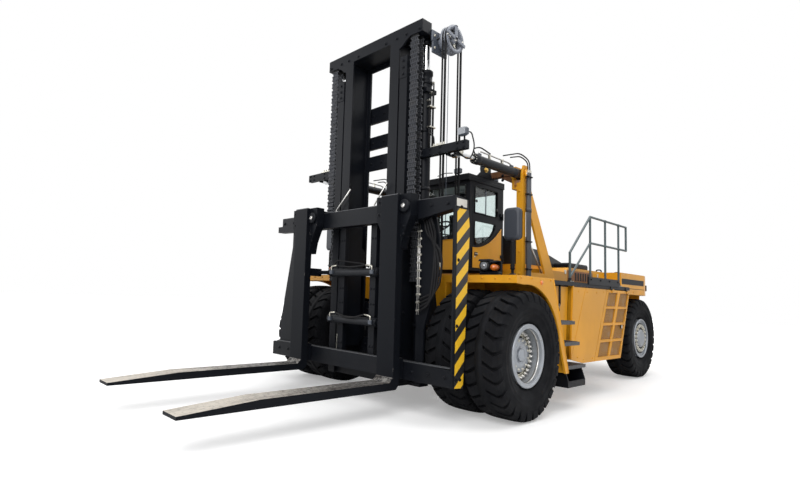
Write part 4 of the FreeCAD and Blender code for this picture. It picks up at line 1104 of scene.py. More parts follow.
@dataclass
class Tyre:
    """A heavy-duty tyre with deep bent lugs."""

    radius: float
    width: float
    bead: float
    lugs: int
    depth: float = 0.052

    def carcass(self, shape: Shape, centre: Vector, axis: Vector) -> None:
        """Turns the tyre's body with its sidewall rings.

        Args:
            shape: what it is added to.
            centre: the wheel's centre.
            axis: the wheel's axis.
        """
        r, h, b = self.radius - self.depth, self.width / 2, self.bead
        side = [
            (0.56 * h, b + 0.004), (0.72 * h, b + 0.016), (0.8 * h, b + 0.05),
            (0.835 * h, b + 0.055), (0.85 * h, b + 0.075), (0.93 * h, b + 0.14),
            (0.955 * h, b + 0.145), (0.962 * h, b + 0.16), (0.975 * h, b + 0.205),
            (0.99 * h, b + 0.21), (0.992 * h, b + 0.225), (0.985 * h, b + 0.275),
            (0.975 * h, r - 0.075), (0.94 * h, r - 0.03), (0.88 * h, r - 0.008),
            (0.6 * h, r + 0.002), (0.25 * h, r + 0.006)]
        profile = [(-x, y) for x, y in side] + [(x, y) for x, y in reversed(side)]
        shape.turned(profile, centre, axis, Coat.TYRE, 96, closed=True)

    def tread(self, shape: Shape, centre: Vector, axis: Vector) -> None:
        """Adds the lugs, which bend at half width and run down over the shoulder.

        Args:
            shape: what they are added to.
            centre: the wheel's centre.
            axis: the wheel's axis.
        """
        turn = axis.to_track_quat("Z", "Y").to_matrix()
        h, r, deep = self.width / 2, self.radius, self.depth
        pitch = 2 * pi / self.lugs
        band = ((-0.2, r - deep), (-0.185, r), (0.185, r), (0.2, r - deep))
        shape.turned([(x * h, y) for x, y in band], centre, axis, Coat.TYRE, 96, closed=True)
        # across the half width: distance, top radius, base radius, lead in pitches, share of pitch
        run = (
            (0.17, r, r - deep, 0.0, 0.76), (0.45, r - 0.001, r - deep, 0.22, 0.74),
            (0.74, r - 0.006, r - deep, 0.44, 0.74), (0.9, r - 0.02, r - deep - 0.012, 0.38, 0.74),
            (0.975, r - 0.05, r - 0.085, 0.28, 0.73), (0.998, r - 0.09, r - 0.11, 0.2, 0.71),
            (0.996, r - 0.135, r - 0.137, 0.16, 0.66))
        for side in (1, -1):
            for k in range(self.lugs):
                start = (k + (0.25 if side > 0 else 0.75)) * pitch
                rings = []
                for across, top, low, lead, share in run:
                    mid, half = start + lead * pitch, share * pitch / 2
                    inner = across * h * side
                    base_in = 0.93 * across * h * side if across > 0.95 else inner
                    ring = []
                    for angle, rad, x in (
                            (mid - half * 1.05, low, base_in), (mid - half, top - 0.006, inner),
                            (mid - half * 0.96, top, inner), (mid + half * 0.96, top, inner),
                            (mid + half, top - 0.006, inner), (mid + half * 1.05, low, base_in)):
                        spot = Vector((rad * cos(angle), rad * sin(angle), x))
                        ring.append(centre + turn @ spot)
                    rings.append(ring)
                shape.loft(rings, Coat.TYRE, smooth=False)


@dataclass
class Wheels:
    """The twin front wheels and the single rear wheels, with nuts and hub caps."""

    lugs: int = 29
    bead: float = 0.397
    twin: float = 0.58
    nuts: int = 28
    height: float = 0.835
    rear: float = 6.05

    def tyres(self) -> None:
        """Builds the four groups of tyres in place of their plain nodes."""
        for side, sign in SIDES.items():
            for group, body, twin in (
                    ("front_tyres", "front_wheels", self.twin), ("rear_tyre", "rear_wheel", 0.0)):
                low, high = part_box(f"{group}_{side}")
                radius = (high.z - low.z) / 2
                width = high.x - low.x - twin
                mid = (low + high) / 2 - REAR * Shape.axle
                shape = Shape(f"tread_{group}_{side}")
                model = Tyre(radius, width, self.bead, self.lugs)
                for offset in ((-twin / 2, twin / 2) if twin else (0.0,)):
                    centre = mid + LEFT * offset
                    model.carcass(shape, centre, LEFT * sign)
                    model.tread(shape, centre, LEFT * sign)
                shape.piece(f"{body}_{side}", f"{group}_{side}", slot="tyre_rubber")

    def rims(self) -> None:
        """Adds lock rings, wheel nuts on a black ring of painted recess shade, and hub caps to the
        four rims.
        """
        for side, sign in SIDES.items():
            out = LEFT * sign
            front = Shape(f"rim_trim_front_{side}")
            hub = at(0, 0, self.height)
            ring = ((2.14, 0.372), (2.14, 0.398), (2.15, 0.409), (2.163, 0.409), (2.171, 0.4),
                    (2.172, 0.386), (2.164, 0.374))
            front.turned(ring, hub, out, Coat.SILVER, 72, closed=True)
            front.turned(((2.1, 0.345), (2.1, 0.368), (2.118, 0.371), (2.126, 0.362),
                          (2.124, 0.348)), hub, out, Coat.STEEL, 64, closed=True)
            # painted shade: a black ring behind the nuts stands for the shadow in the rim's recess
            front.disc(1.956, 2.004, 0.344, hub, out, Coat.BLACK, 48, bore=0.232)
            self.circle(front, out, hub, 2.003, 0.296, self.nuts, 0.052, stud=0.055)
            front.turned(
                ((1.958, 0.224), (2.044, 0.222), (2.054, 0.212), (2.054, 0.168), (2.062, 0.16),
                (2.064, 0.12), (2.056, 0.112), (2.056, 0.0)), hub, out, Coat.SILVER, 56)
            self.circle(front, out, hub, 2.053, 0.19, 12, 0.022)
            front.turned(((2.054, 0.086), (2.074, 0.082), (2.082, 0.066), (2.082, 0.0)), hub, out,
                         Coat.SILVER, 32)
            front.tube((hub + out * 2.17 + at(0, 0.31, 0.2), hub + out * 2.115 + at(0, 0.3, 0.185)),
                       0.009, Coat.ZINC, 8)
            front.piece(f"front_wheels_{side}")
            rear = Shape(f"rim_trim_rear_{side}")
            hub = at(0, self.rear, self.height)
            rear.turned(((1.505, 0.372), (1.505, 0.398), (1.52, 0.409), (1.532, 0.408),
                         (1.539, 0.396), (1.536, 0.378)), hub, out, Coat.SILVER, 72, closed=True)
            rear.turned(((1.47, 0.34), (1.47, 0.364), (1.486, 0.366), (1.492, 0.352)), hub, out,
                        Coat.STEEL, 64, closed=True)
            # painted shade: a black ring behind the nuts stands for the shadow in the rim's recess,
            # as on the front
            rear.disc(1.499, 1.512, 0.322, hub, out, Coat.BLACK, 48, bore=0.195)
            self.circle(rear, out, hub, 1.511, 0.262, 20, 0.046, stud=0.027)
            rear.turned(((1.44, 0.335), (1.496, 0.33), (1.502, 0.318), (1.502, 0.0)), hub, out,
                        Coat.SILVER, 56)
            rear.turned(((1.5, 0.19), (1.528, 0.184), (1.536, 0.17), (1.536, 0.0)), hub, out,
                        Coat.SILVER, 40)
            self.circle(rear, out, hub, 1.53, 0.14, 10, 0.024)
            rear.turned(((1.534, 0.075), (1.546, 0.07), (1.548, 0.0)), hub, out, Coat.DRUM, 28)
            rear.piece(f"rear_wheel_{side}")

    def circle(self, shape: Shape, out: Vector, hub: Vector, reach: float, radius: float,
               count: int, size: float, stud: float = 0.0) -> None:
        """Adds a ring of nuts.

        Args:
            shape: what they are added to.
            out: the way they point.
            hub: the wheel's axis at the truck's middle.
            reach: how far out their seat is.
            radius: the ring's radius.
            count: how many there are.
            size: the width across their flats.
            stud: how far a stud stands out of each, if it has one.
        """
        for k in range(count):
            a = 2 * pi * (k + 0.5) / count
            spot = hub + out * reach + at(0, radius * cos(a), radius * sin(a))
            shape.hex_bolt(spot, out, size, Coat.ZINC)
            if stud:
                shape.turned(((0, size * 0.28), (stud, size * 0.28)), spot, out, Coat.STEEL, 10)


# --- mast


@dataclass
class Mast:
    """Fittings of the outer mast and of the lifting uprights."""

    chain: float = 0.855
    chain_pitch: float = 0.0635
    chain_top: float = 5.29
    runs: tuple[tuple[float, float], ...] = ((-0.832, 2.59), (-0.722, 1.75))
    ram: Spot = (0.848, -0.56, 0.0)
    pin: Spot = (0.0, -0.5, 3.545)
    pulley_hub: Spot = (0.0, -0.39, 5.25)
    groove: float = 0.185

    def outer(self) -> None:
        """Bolts, cylinder glands, pipes and slide pads that stay with the outer mast."""
        shape = Shape("outer_mast_fittings")
        shape.bolts(0.74, (-0.79, -0.4), (0.62, 1.3, 2.2, 2.84, 3.72, 4.5, 4.92), LEFT, 0.034)
        shape.bolts((0.12, 0.36, 0.52), -0.384, (1.3, 2.84, 4.03, 4.5), -REAR, 0.03)
        shape.slab((0.602, -0.858, 4.7), (0.738, -0.846, 5.02), Coat.BLACK)
        shape.bolts(0.67, -0.858, (4.76, 4.86, 4.96), -REAR, 0.03)
        gland = ((4.62, 0.093), (4.62, 0.104), (4.66, 0.106), (4.66, 0.096), (4.76, 0.096),
                 (4.76, 0.106), (4.815, 0.106), (4.825, 0.096), (4.825, 0.06))
        shape.turned(gland, self.ram, UP, Coat.BLACK, 36)
        for a in (pi * (k + 0.5) / 4 for k in range(8)):
            spot = (self.ram[0] + 0.082 * cos(a), self.ram[1] + 0.082 * sin(a), 4.822)
            shape.hex_bolt(spot, UP, 0.02, Coat.ZINC)
        for level in (1.1, 1.7, 2.3, 3.05, 3.9):
            shape.disc(level, level + 0.05, 0.099, self.ram, UP, Coat.BLACK, 32, bore=0.0935)
        for x, y, top in ((0.968, -0.52, 4.6), (0.992, -0.565, 4.44), (0.966, -0.61, 4.32)):
            shape.tube(((0.92, y, top + 0.04), (x, y, top + 0.04), (x, y, 3.66)), 0.011,
                       Coat.HOSE, 10, bend=0.05)
            shape.nut(0, 0.05, 0.017, (0.925, y, top + 0.04), LEFT)
        for level in (3.95, 4.25):
            shape.slab((0.935, -0.63, level), (1.004, -0.5, level + 0.022), Coat.ZINC)
        for x in (0.66, 0.7):
            shape.tube(((x, -0.312, 0.52), (x, -0.312, 4.86)), 0.011, Coat.CHASSIS, 10)
        for level in (0.9, 1.7, 2.5, 3.3, 4.15, 4.75):
            shape.slab((0.635, -0.33, level), (0.728, -0.296, level + 0.035), Coat.ZINC)
        shape.slab((0.8, -0.475, 0.41), (0.9, -0.425, 0.5), Coat.BLACK)
        shape.tube(((0.85, -0.43, 0.455), (0.85, -0.37, 0.455), (0.7, -0.32, 0.5)), 0.013,
                   Coat.HOSE, 10, bend=0.05)
        shape.turned(((0.7, 0.105), (0.7, 0.15), (0.735, 0.155), (0.752, 0.14),
                      (0.752, 0.105)), (0, -0.3, 0.62), LEFT, Coat.BLACK, 36, closed=True)
        self.arm(shape)
        shape.piece("mast", mirror=True)
        lamp = Shape("mast_work_lamp")
        lamp.tube(((1.585, -0.64, 3.62), (1.585, -0.64, 3.69)), 0.012, Coat.BLACK, 10)
        lamp.slab((1.52, -0.715, 3.685), (1.655, -0.625, 3.8), Coat.DRUM, 0.022)
        lamp.slab((1.532, -0.722, 3.697), (1.643, -0.712, 3.788), Coat.CLEAR, 0.008)
        lamp.tube(((1.59, -0.625, 3.75), (1.63, -0.55, 3.76), (1.66, -0.5, 3.55),
                   (1.6, -0.55, 3.36), (1.47, -0.6, 3.5)), 0.009, Coat.HOSE, 8, bend=0.12)
        lamp.piece("mast")

    def arm(self, shape: Shape) -> None:
        """Adds the bolts, cleats and short hoses of the crosshead arm.

        Args:
            shape: what they are added to.
        """
        shape.bolts((0.8, 0.92, 1.06, 1.22, 1.5, 1.6), -0.69, (3.53, 3.6), -REAR, 0.024)
        shape.slab((1.075, -0.7, 3.622), (1.3, -0.6, 3.634), Coat.ZINC)
        for x in (1.1, 1.155, 1.21, 1.265):
            shape.nut(3.634, 3.672, 0.016, (x, -0.655, 0), UP)
        shape.tube(((1.1, -0.655, 3.66), (1.09, -0.655, 3.8), (0.99, -0.64, 3.84),
                    (0.97, -0.6, 4.0)), 0.01, Coat.HOSE, 8, bend=0.08)
        shape.turned(((1.304, 0.052), (1.304, 0.0)), self.pin, -LEFT, Coat.ZINC, 6, smooth=False)
        for x in (1.262, 1.438):
            shape.disc(x - 0.006, x + 0.006, 0.052, self.pin, LEFT, Coat.ZINC)

    def link(self, shape: Shape, x: float, y: float, z: float, wide: bool) -> None:
        """Adds the plates of one chain link, stacked across the chain.

        Args:
            shape: what they are added to.
            x: the chain's middle.
            y: its station.
            z: the link's middle.
            wide: whether this is one of the outer links.
        """
        half, pin, waist = 0.0178, self.chain_pitch * 0.5, 0.0075
        right = ((half * 0.6, -pin - 0.013), (half, -pin), (waist, -pin * 0.45),
                 (waist, pin * 0.45), (half, pin), (half * 0.6, pin + 0.013))
        outline = right + tuple((-a, b) for a, b in reversed(right))
        for slot in range(0 if wide else 1, 9, 2):
            start = -0.0695 + 0.0155 * slot
            rings = [[at(x + t, y + a, z + b) for a, b in outline] for t in (start, start + 0.0145)]
            shape.loft(rings, Coat.GREASED, smooth=False)

    def chains(self) -> None:
        """Leaf chains with their pins, and a dark strip of painted shade between their plates, in
        place of the plain runs.
        """
        for side, sign in SIDES.items():
            shape, x = Shape(f"leaf_chains_{side}"), sign * self.chain
            for y, low in self.runs:
                for k in range(int((self.chain_top - low) / self.chain_pitch)):
                    z = low + (k + 0.5) * self.chain_pitch
                    self.link(shape, x, y, z, k % 2 == 0)
                    shape.turned(((-0.075, 0.0085), (0.075, 0.0085)),
                                 (x, y, z + self.chain_pitch / 2), LEFT, Coat.WORN, 8)
                # painted shade: a dark strip in the chain's middle stands for the shadow between
                # its plates
                shape.slab((x - 0.06, y - 0.004, low), (x + 0.06, y + 0.004, 5.3), Coat.SEAL)
            shape.piece("lifting_mast", *(("lift_chains",) if side == "left" else ()))

    def inner(self) -> None:
        """Bolts, pads and rod heads that rise with the inner mast."""
        shape = Shape("inner_mast_fittings")
        shape.bolts((0.1, 0.34), -0.438, (0.75, 3.67, 5.27), -REAR, 0.028)
        shape.bolts((0.3, 0.52, 0.7, 0.95), -0.85, 5.35, -REAR, 0.03)
        shape.turned(((5.215, 0.056), (5.215, 0.078), (5.298, 0.082), (5.298, 0.056)),
                     self.ram, UP, Coat.BLACK, 28, closed=True)
        shape.slab((0.402, -0.859, 0.58), (0.56, -0.849, 0.9), Coat.ZINC)
        shape.bolts(0.48, -0.859, (0.64, 0.84), -REAR, 0.026, Coat.STEEL)
        shape.slab((0.99, -0.845, 5.305), (1.0005, -0.65, 5.475), Coat.BLACK, 0.006)
        shape.piece("lifting_mast", mirror=True)

    def pulley(self) -> None:
        """Spoked hose pulley on its arm, with the hoses that hang over it."""
        hub = Vector(self.pulley_hub)
        wheel = Shape("spoked_hose_pulley")
        grooves = ((1.12, 0.15), (1.12, 0.205), (1.129, 0.205), (1.136, 0.168), (1.168, 0.168),
                   (1.173, 0.2), (1.179, 0.2), (1.184, 0.168), (1.216, 0.168), (1.223, 0.205),
                   (1.232, 0.205), (1.232, 0.15))
        wheel.turned(grooves, hub, LEFT, Coat.WHEEL, 56, closed=True)
        wheel.disc(1.122, 1.23, 0.052, hub, LEFT, Coat.WHEEL, 28)
        middle = hub + LEFT * 1.176
        for a in (2 * pi * k / 5 + 0.3 for k in range(5)):
            reach = at(0, cos(a), sin(a))
            wheel.tube((middle + reach * 0.045, middle + reach * 0.155), 0.017, Coat.ZINC, 10)
        wheel.disc(1.036, 1.096, 0.15, hub, LEFT, Coat.WHEEL, 40)
        wheel.slab((1.0, -0.66, 5.21), (1.03, -0.35, 5.38), Coat.DRUM, 0.01)
        wheel.slab((1.0, -0.64, 5.045), (1.028, -0.3, 5.24), Coat.DRUM, 0.01)
        wheel.disc(1.005, 1.256, 0.031, hub, LEFT, Coat.STEEL)
        lean = Matrix.Translation(hub) @ Matrix.Rotation(radians(-14), 4, "X")
        wheel.slab((1.236, -0.62, 5.225), (1.256, -0.17, 5.275), Coat.WHEEL, 0.006,
                   lean @ Matrix.Translation(-hub))
        wheel.slab((1.236, -0.42, 5.24), (1.256, -0.36, 5.45), Coat.WHEEL, 0.006)
        wheel.slab((1.03, -0.415, 5.43), (1.256, -0.365, 5.455), Coat.WHEEL, 0.006)
        for y in (-0.58, -0.22):
            wheel.tube(((1.03, y * 0.9 - 0.03, 5.26), (1.246, y, 5.26)), 0.009, Coat.ZINC, 8)
        for y, z in ((-0.6, 5.3), (-0.48, 5.3), (-0.6, 5.12), (-0.42, 5.1)):
            wheel.hex_bolt((1.03, y, z), LEFT, 0.024, Coat.ZINC)
        wheel.piece("lifting_mast", "hose_pulley")
        hoses = Shape("hanging_hoses")
        front, back, level = hub.y - self.groove, hub.y + self.groove, hub.z
        for x, radius in ((1.152, 0.013), (1.2, 0.0165)):
            over = [(x, hub.y - self.groove * cos(a), level + self.groove * sin(a))
                    for a in (pi * k / 16 for k in range(1, 16))]
            hoses.tube([(x, front, 1.96), (x, front, level), *over, (x, back, level),
                        (x, back, 2.16)], radius, Coat.HOSE, 12)
            for y, z in ((front, 1.95), (back, 2.15)):
                hoses.nut(z, z + 0.06, radius * 1.3, (x, y, 0), UP)
        hoses.tube(((1.246, -0.56, 2.35), (1.246, -0.56, 5.2)), 0.005, Coat.DRUM, 8)
        hoses.piece("lifting_mast", "mast_hoses")

    def build(self) -> None:
        """Builds everything on both stages of the mast."""
        self.outer()
        self.inner()
        self.chains()
        self.pulley()


@dataclass
class Carriage:
    """Fittings of the fork carriage and of both forks."""

    ram_levels: tuple[float, float] = (1.857, 1.15)
    fork: float = 0.94
    fork_face: float = -1.292
    plate_face: Spot = (1.8052, 0.0, 0.0)

    def stripes(self) -> None:
        """Warning bands on the end plate, with one bare label."""
        shape = Shape("end_plate_stripes")
        outline = ((-1.085, 0.463), (-0.912, 0.452), (-0.816, 2.4), (-0.853, 2.64), (-1.085, 2.64))
        shape.plate(outline, Vector(self.plate_face), LEFT, UP, 0.0015, Coat.STRIPES)
        shape.plate(((-1.1, 2.665), (-0.885, 2.665), (-0.885, 2.762), (-1.1, 2.762)),
                    Vector(self.plate_face), LEFT, UP, 0.0015, Coat.LABEL)
        shape.piece("fork_carriage")

    def fittings(self) -> None:
        """Ram glands, hoses, bolts and wear strips on the carriage."""
        shape = Shape("carriage_fittings")
        for z in self.ram_levels:
            for x, way in ((0.5, LEFT), (-0.5, -LEFT)):
                shape.turned(((0.458, 0.0), (0.458, 0.066), (0.508, 0.066), (0.512, 0.06),
                              (0.512, 0.0305)), (0, -1.062, z), way, Coat.BLACK, 32)
                shape.slab((x * 0.86 - 0.03, -1.15, z - 0.03), (x * 0.86 + 0.03, -1.11, z + 0.03),
                           Coat.DRUM)
        for x, z in product((-0.43, 0.43), self.ram_levels):
            shape.tube(((x, -1.128, z), (x, -1.135, z + 0.09), (x * 0.72, -1.135, z + 0.1)),
                       0.011, Coat.ZINC, 8, bend=0.03)
        for x, end, sag in ((0.02, 1.957, 1.925), (0.0, 1.25, 1.17)):
            shape.tube(((-0.31, -1.135, end), (x, -1.135, sag), (0.31, -1.135, end)), 0.013,
                       Coat.HOSE, 10, bend=0.2)
        shape.tube(((-0.42, -1.1, 1.93), (-0.36, -1.1, 2.04), (0.2, -1.09, 1.98),
                    (0.3, -1.05, 1.93)), 0.012, Coat.HOSE, 10, bend=0.1)
        shape.slab((-1.77, -1.1375, 0.688), (1.77, -1.06, 0.7), Coat.WORN, 0.003)
        shape.slab((-1.75, -1.1375, 2.784), (1.77, -1.06, 2.794), Coat.WORN, 0.003)
        for k in range(4):
            line = ((1.26 + 0.05 * k, -1.03 - 0.02 * k, 2.545), (1.3 + 0.05 * k, -1.04, 2.36),
                    (1.58 - 0.035 * k, -1.05 - 0.015 * k, 2.1 - 0.09 * k),
                    (1.52 - 0.05 * k, -1.04, 1.62 - 0.06 * k),
                    (1.21 + 0.01 * k, -1.04 - 0.01 * k, 1.5 - 0.05 * k))
            shape.tube(line, 0.014, Coat.HOSE, 10, bend=0.22)
        for k in range(11):
            z = 1.34 + 0.105 * k
            shape.slab((1.132, -1.015, z), (1.205, -0.99, z + 0.028), Coat.ZINC, 0.004)
            shape.hex_bolt((1.19, -1.015, z + 0.014), -REAR, 0.02, Coat.ZINC, washer=False)
        for x in (1.15, 1.178):
            shape.tube(((x, -1.008, 1.3), (x, -1.008, 2.5)), 0.008, Coat.STEEL, 8)
        shape.bolts((-1.7, -1.45, -1.2, 1.2, 1.45, 1.7), -1.137, (0.58, 2.7), -REAR, 0.032)
        for y, z in ((-1.06, 0.56), (-0.98, 0.56), (-1.06, 1.2), (-1.05, 2.0), (-1.0, 2.66)):
            shape.hex_bolt((1.8068, y, z), LEFT, 0.026, Coat.BLACK)
        shape.bolts((-0.355, -0.3, 0.3, 0.355), -1.0038, (0.8, 1.4, 1.62, 2.35), -REAR, 0.022)
        for x, y in product((0.855, -0.855), (-0.985, -0.955)):
            shape.tube(((x, y, 2.62), (x, y, 2.8)), 0.012, Coat.ZINC, 8)
        shape.piece("fork_carriage")
        rods = Shape("carriage_guard_rods")
        for x1, x2 in ((-0.315, -0.623), (0.46, 0.212)):
            rods.tube(((x1, -0.9, 3.172), (x2, -0.9, 2.868), (x2 + 0.01, -0.9, 2.775)),
                      0.012, Coat.STEEL, 10, bend=0.02)
        rods.piece("fork_carriage")

    def forks(self) -> None:
        """Hook bosses, retaining pins and bolts on each fork."""
        for side, sign in SIDES.items():
            x = sign * self.fork
            shape = Shape(f"fork_trim_{side}")
            shape.turned(((1.29, 0.0), (1.29, 0.078), (1.304, 0.084), (1.33, 0.084),
                          (1.34, 0.074), (1.34, 0.0)), (x + 0.215, 0, 2.7), -REAR, Coat.BLACK, 28)
            shape.turned(((1.338, 0.03), (1.352, 0.028), (1.352, 0.0)), (x + 0.215, 0, 2.7),
                         -REAR, Coat.STEEL, 16)
            shape.bolts((x - 0.255, x - 0.205), self.fork_face, (2.62, 2.8), -REAR, 0.03)
            shape.bolts((x - 0.19, x + 0.19), self.fork_face, (2.34, 2.44), -REAR, 0.026)
            shape.slab((x - 0.143, -1.3675, 2.848), (x + 0.143, -1.25, 2.863), Coat.WORN, 0.004)
            shape.piece(f"fork_{side}")

    def build(self) -> None:
        """Builds everything on the carriage and the forks."""
        self.stripes()
        self.fittings()
        self.forks()


# --- cab and towers


@dataclass
class Pad:
    """A seat cushion that cloth pressure rounds."""

    name: str
    low: tuple[float, float, float]
    high: tuple[float, float, float]
    cap: float = 0.022

    def build(self) -> Object:
        """Returns:
            The cushion's object.
        """
        shape = Shape(self.name)
        inset = 0.012
        low = tuple(v + inset for v in self.low)
        high = tuple(v - inset for v in self.high)
        shape.slab(low, high, Coat.CLOTH, 0.03)
        pad = shape.piece("chassis", slot="seat_cover")
        self.inflate(pad)
        for face in pad.data.polygons:
            face.use_smooth = True
        return pad

    def inflate(self, pad: Object) -> None:
        """Remeshes the cushion, lets cloth pressure swell it, and keeps the result.

        Args:
            pad: the cushion.
        """
        scene = bpy.context.scene
        bpy.context.view_layer.objects.active = pad
        remesh = pad.modifiers.new("remesh", "REMESH")
        remesh.mode, remesh.voxel_size = "VOXEL", 0.012
        self.apply(pad)
        rest = [v.co.copy() for v in pad.data.vertices]
        cloth = pad.modifiers.new("cloth", "CLOTH")
        cloth.settings.use_pressure = True
        cloth.settings.uniform_pressure_force = 4.0
        cloth.settings.quality = 5
        cloth.settings.effector_weights.gravity = 0.0
        cloth.point_cache.frame_start, cloth.point_cache.frame_end = 1, 20
        for frame in range(1, 21):
            scene.frame_set(frame)
        self.apply(pad)
        scene.frame_set(1)
        for vertex, start in zip(pad.data.vertices, rest):
            move = vertex.co - start
            if move.length > self.cap:
                vertex.co = start + move.normalized() * self.cap
            low = self.low[1] + Shape.axle, self.low[2]
            high = self.high[1] + Shape.axle, self.high[2]
            vertex.co.y = min(max(vertex.co.y, low[0]), high[0])
            vertex.co.z = min(max(vertex.co.z, low[1]), high[1])
        smooth = pad.modifiers.new("smooth", "SUBSURF")
        smooth.levels = 1
        self.apply(pad)
        LOG.info("cushion %s: %d points", self.name, len(pad.data.vertices))

    @staticmethod
    def apply(pad: Object) -> None:
        """Turns the cushion's modifiers into its mesh.

        Args:
            pad: the cushion.
        """
        graph = bpy.context.evaluated_depsgraph_get()
        coats = list(pad.data.materials)
        made = bpy.data.meshes.new_from_object(pad.evaluated_get(graph))
        pad.modifiers.clear()
        pad.data = made
        if not made.materials:
            for coat in coats:
                made.materials.append(coat)


@dataclass
class Cab:
    """The cab's painted lower shell, windows, roof fittings and inside."""

    skin_face: float = 0.7902
    ear: float = 0.781

    @staticmethod
    def skin() -> list[tuple[float, float]]:
        """The (station, height) outline of a side's lower skin, with its curved upper edge."""
        curve = [(0.8 + 0.855 * t / 14, 2.358 + 0.384 * (t / 14) ** 2.2) for t in range(15)]
        return [(1.655, 2.036), (0.8, 2.036)] + curve

    def side(self, shape: Shape, x: float, way: Vector) -> None:
        """Adds the skin, seals, divider and latches of one side.

        Args:
            shape: what they are added to.
            x: the outside of the side's skin.
            way: the way that it faces.
        """
        ring = [[at(x + way.x * t, y, z) for y, z in self.skin()] for t in (0.0, 0.003)]
        shape.loft(ring, Coat.YELLOW, smooth=False)
        edge = [at(x + way.x * 0.001, y, z) for y, z in self.skin()[2:]]
        shape.tube(edge, 0.007, Coat.YELLOW, 8)
        glass = x - way.x * 0.008
        upper = [(0.862, 2.932), (1.548, 2.932), (1.548, 3.378), (0.862, 3.378), (0.862, 2.932)]
        lower = [(0.862, 2.412), (0.96, 2.417), (1.17, 2.467), (1.34, 2.567), (1.46, 2.7),
                 (1.498, 2.806), (0.862, 2.806), (0.862, 2.412)]
        for line in (upper, lower):
            shape.tube([(glass, y, z) for y, z in line], 0.009, Coat.SEAL, 8, bend=0.035)
        inner = glass - way.x * 0.02
        shape.slab((inner - 0.006, 1.205, 2.935), (inner + 0.006, 1.225, 3.375), Coat.DRUM)
        slider = ((0.885, 2.95), (1.205, 2.95), (1.205, 3.36), (0.885, 3.36), (0.885, 2.95))
        shape.tube([(glass - way.x * 0.018, y, z) for y, z in slider], 0.006, Coat.DRUM, 6,
                   bend=0.03)
        for y, z in ((0.895, 3.13), (1.515, 3.06)):
            shape.slab((min(glass, glass + way.x * 0.02), y - 0.018, z - 0.022),
                       (max(glass, glass + way.x * 0.02), y + 0.018, z + 0.022), Coat.MOULDED)

    def door(self) -> None:
        """Everything that swings with the door."""
        shape = Shape("cab_door_trim")
        self.side(shape, self.skin_face, LEFT)
        shape.slab((0.793, 0.845, 2.235), (0.803, 0.93, 2.29), Coat.MOULDED, 0.008)
        shape.slab((0.803, 0.852, 2.255), (0.815, 0.925, 2.272), Coat.ZINC, 0.005)
        shape.turned(
            ((0.793, 0.012), (0.801, 0.012), (0.801, 0.0)), (0, 0.865, 2.215), LEFT, Coat.ZINC, 14)
        shape.piece("cab_door")

    def shell(self) -> None:
        """The fixed side, the end panels with their window seals, the wipers and the roof."""
        shape = Shape("cab_trim")
        self.side(shape, -self.skin_face, -LEFT)
        corner = [
            (0.6 + 0.12 * sin(a), 2.375 + 0.12 * cos(a)) for a in (pi * k / 16 for k in range(9))]
        panel = [(-0.72, 2.0), (0.72, 2.0)] + corner[::-1] + [(-c[0], c[1]) for c in corner]
        for y, way in ((0.7195, -1), (1.7355, 1)):
            shape.loft([[(x, y + way * t, z) for x, z in panel] for t in (0.0, 0.003)], Coat.YELLOW,
                       smooth=False)
        shape.tube([(x, 0.716, z) for x, z in panel[2:]], 0.007, Coat.YELLOW, 8)
        window = ((-0.7, 2.556), (0.7, 2.556), (0.7, 3.385), (-0.7, 3.385), (-0.7, 2.556))
        for y in (0.724, 1.731):
            shape.tube([(x, y, z) for x, z in window], 0.01, Coat.SEAL, 8, bend=0.05)
        for x in (-0.28, 0.34):
            shape.slab((x - 0.03, 0.7, 2.505), (x + 0.03, 0.722, 2.545), Coat.MOULDED)
            shape.tube(((x, 0.708, 2.53), (x - 0.17, 0.712, 3.02)), 0.006, Coat.MOULDED, 8)
            shape.tube(((x - 0.195, 0.722, 2.86), (x - 0.135, 0.722, 3.22)), 0.008, Coat.SEAL, 6)
        self.roof(shape)
        for x in (-self.ear, self.ear):
            way = 1 if x > 0 else -1
            ear = [(0.9, 3.556), (1.4, 3.556)]
            ear += [(1.15 + 0.155 * cos(a), 3.69 + 0.155 * sin(a))
                    for a in (radians(22 * k - 20) for k in range(11))]
            shape.loft([[(x + way * t, y, z) for y, z in ear] for t in (0.0, 0.016)], Coat.BLACK,
                       smooth=False)
            shape.hex_bolt((x + way * 0.016, 1.15, 3.69), LEFT * way, 0.052, Coat.BRASS)
            shape.tube(
                ((x + way * 0.004, 0.74, 3.5), (x + way * 0.004, 1.72, 3.5)), 0.009, Coat.BLACK, 8)
        shape.bolts(self.ear, (0.758, 1.618), (2.05, 2.16), LEFT, 0.02)
        shape.piece("chassis")

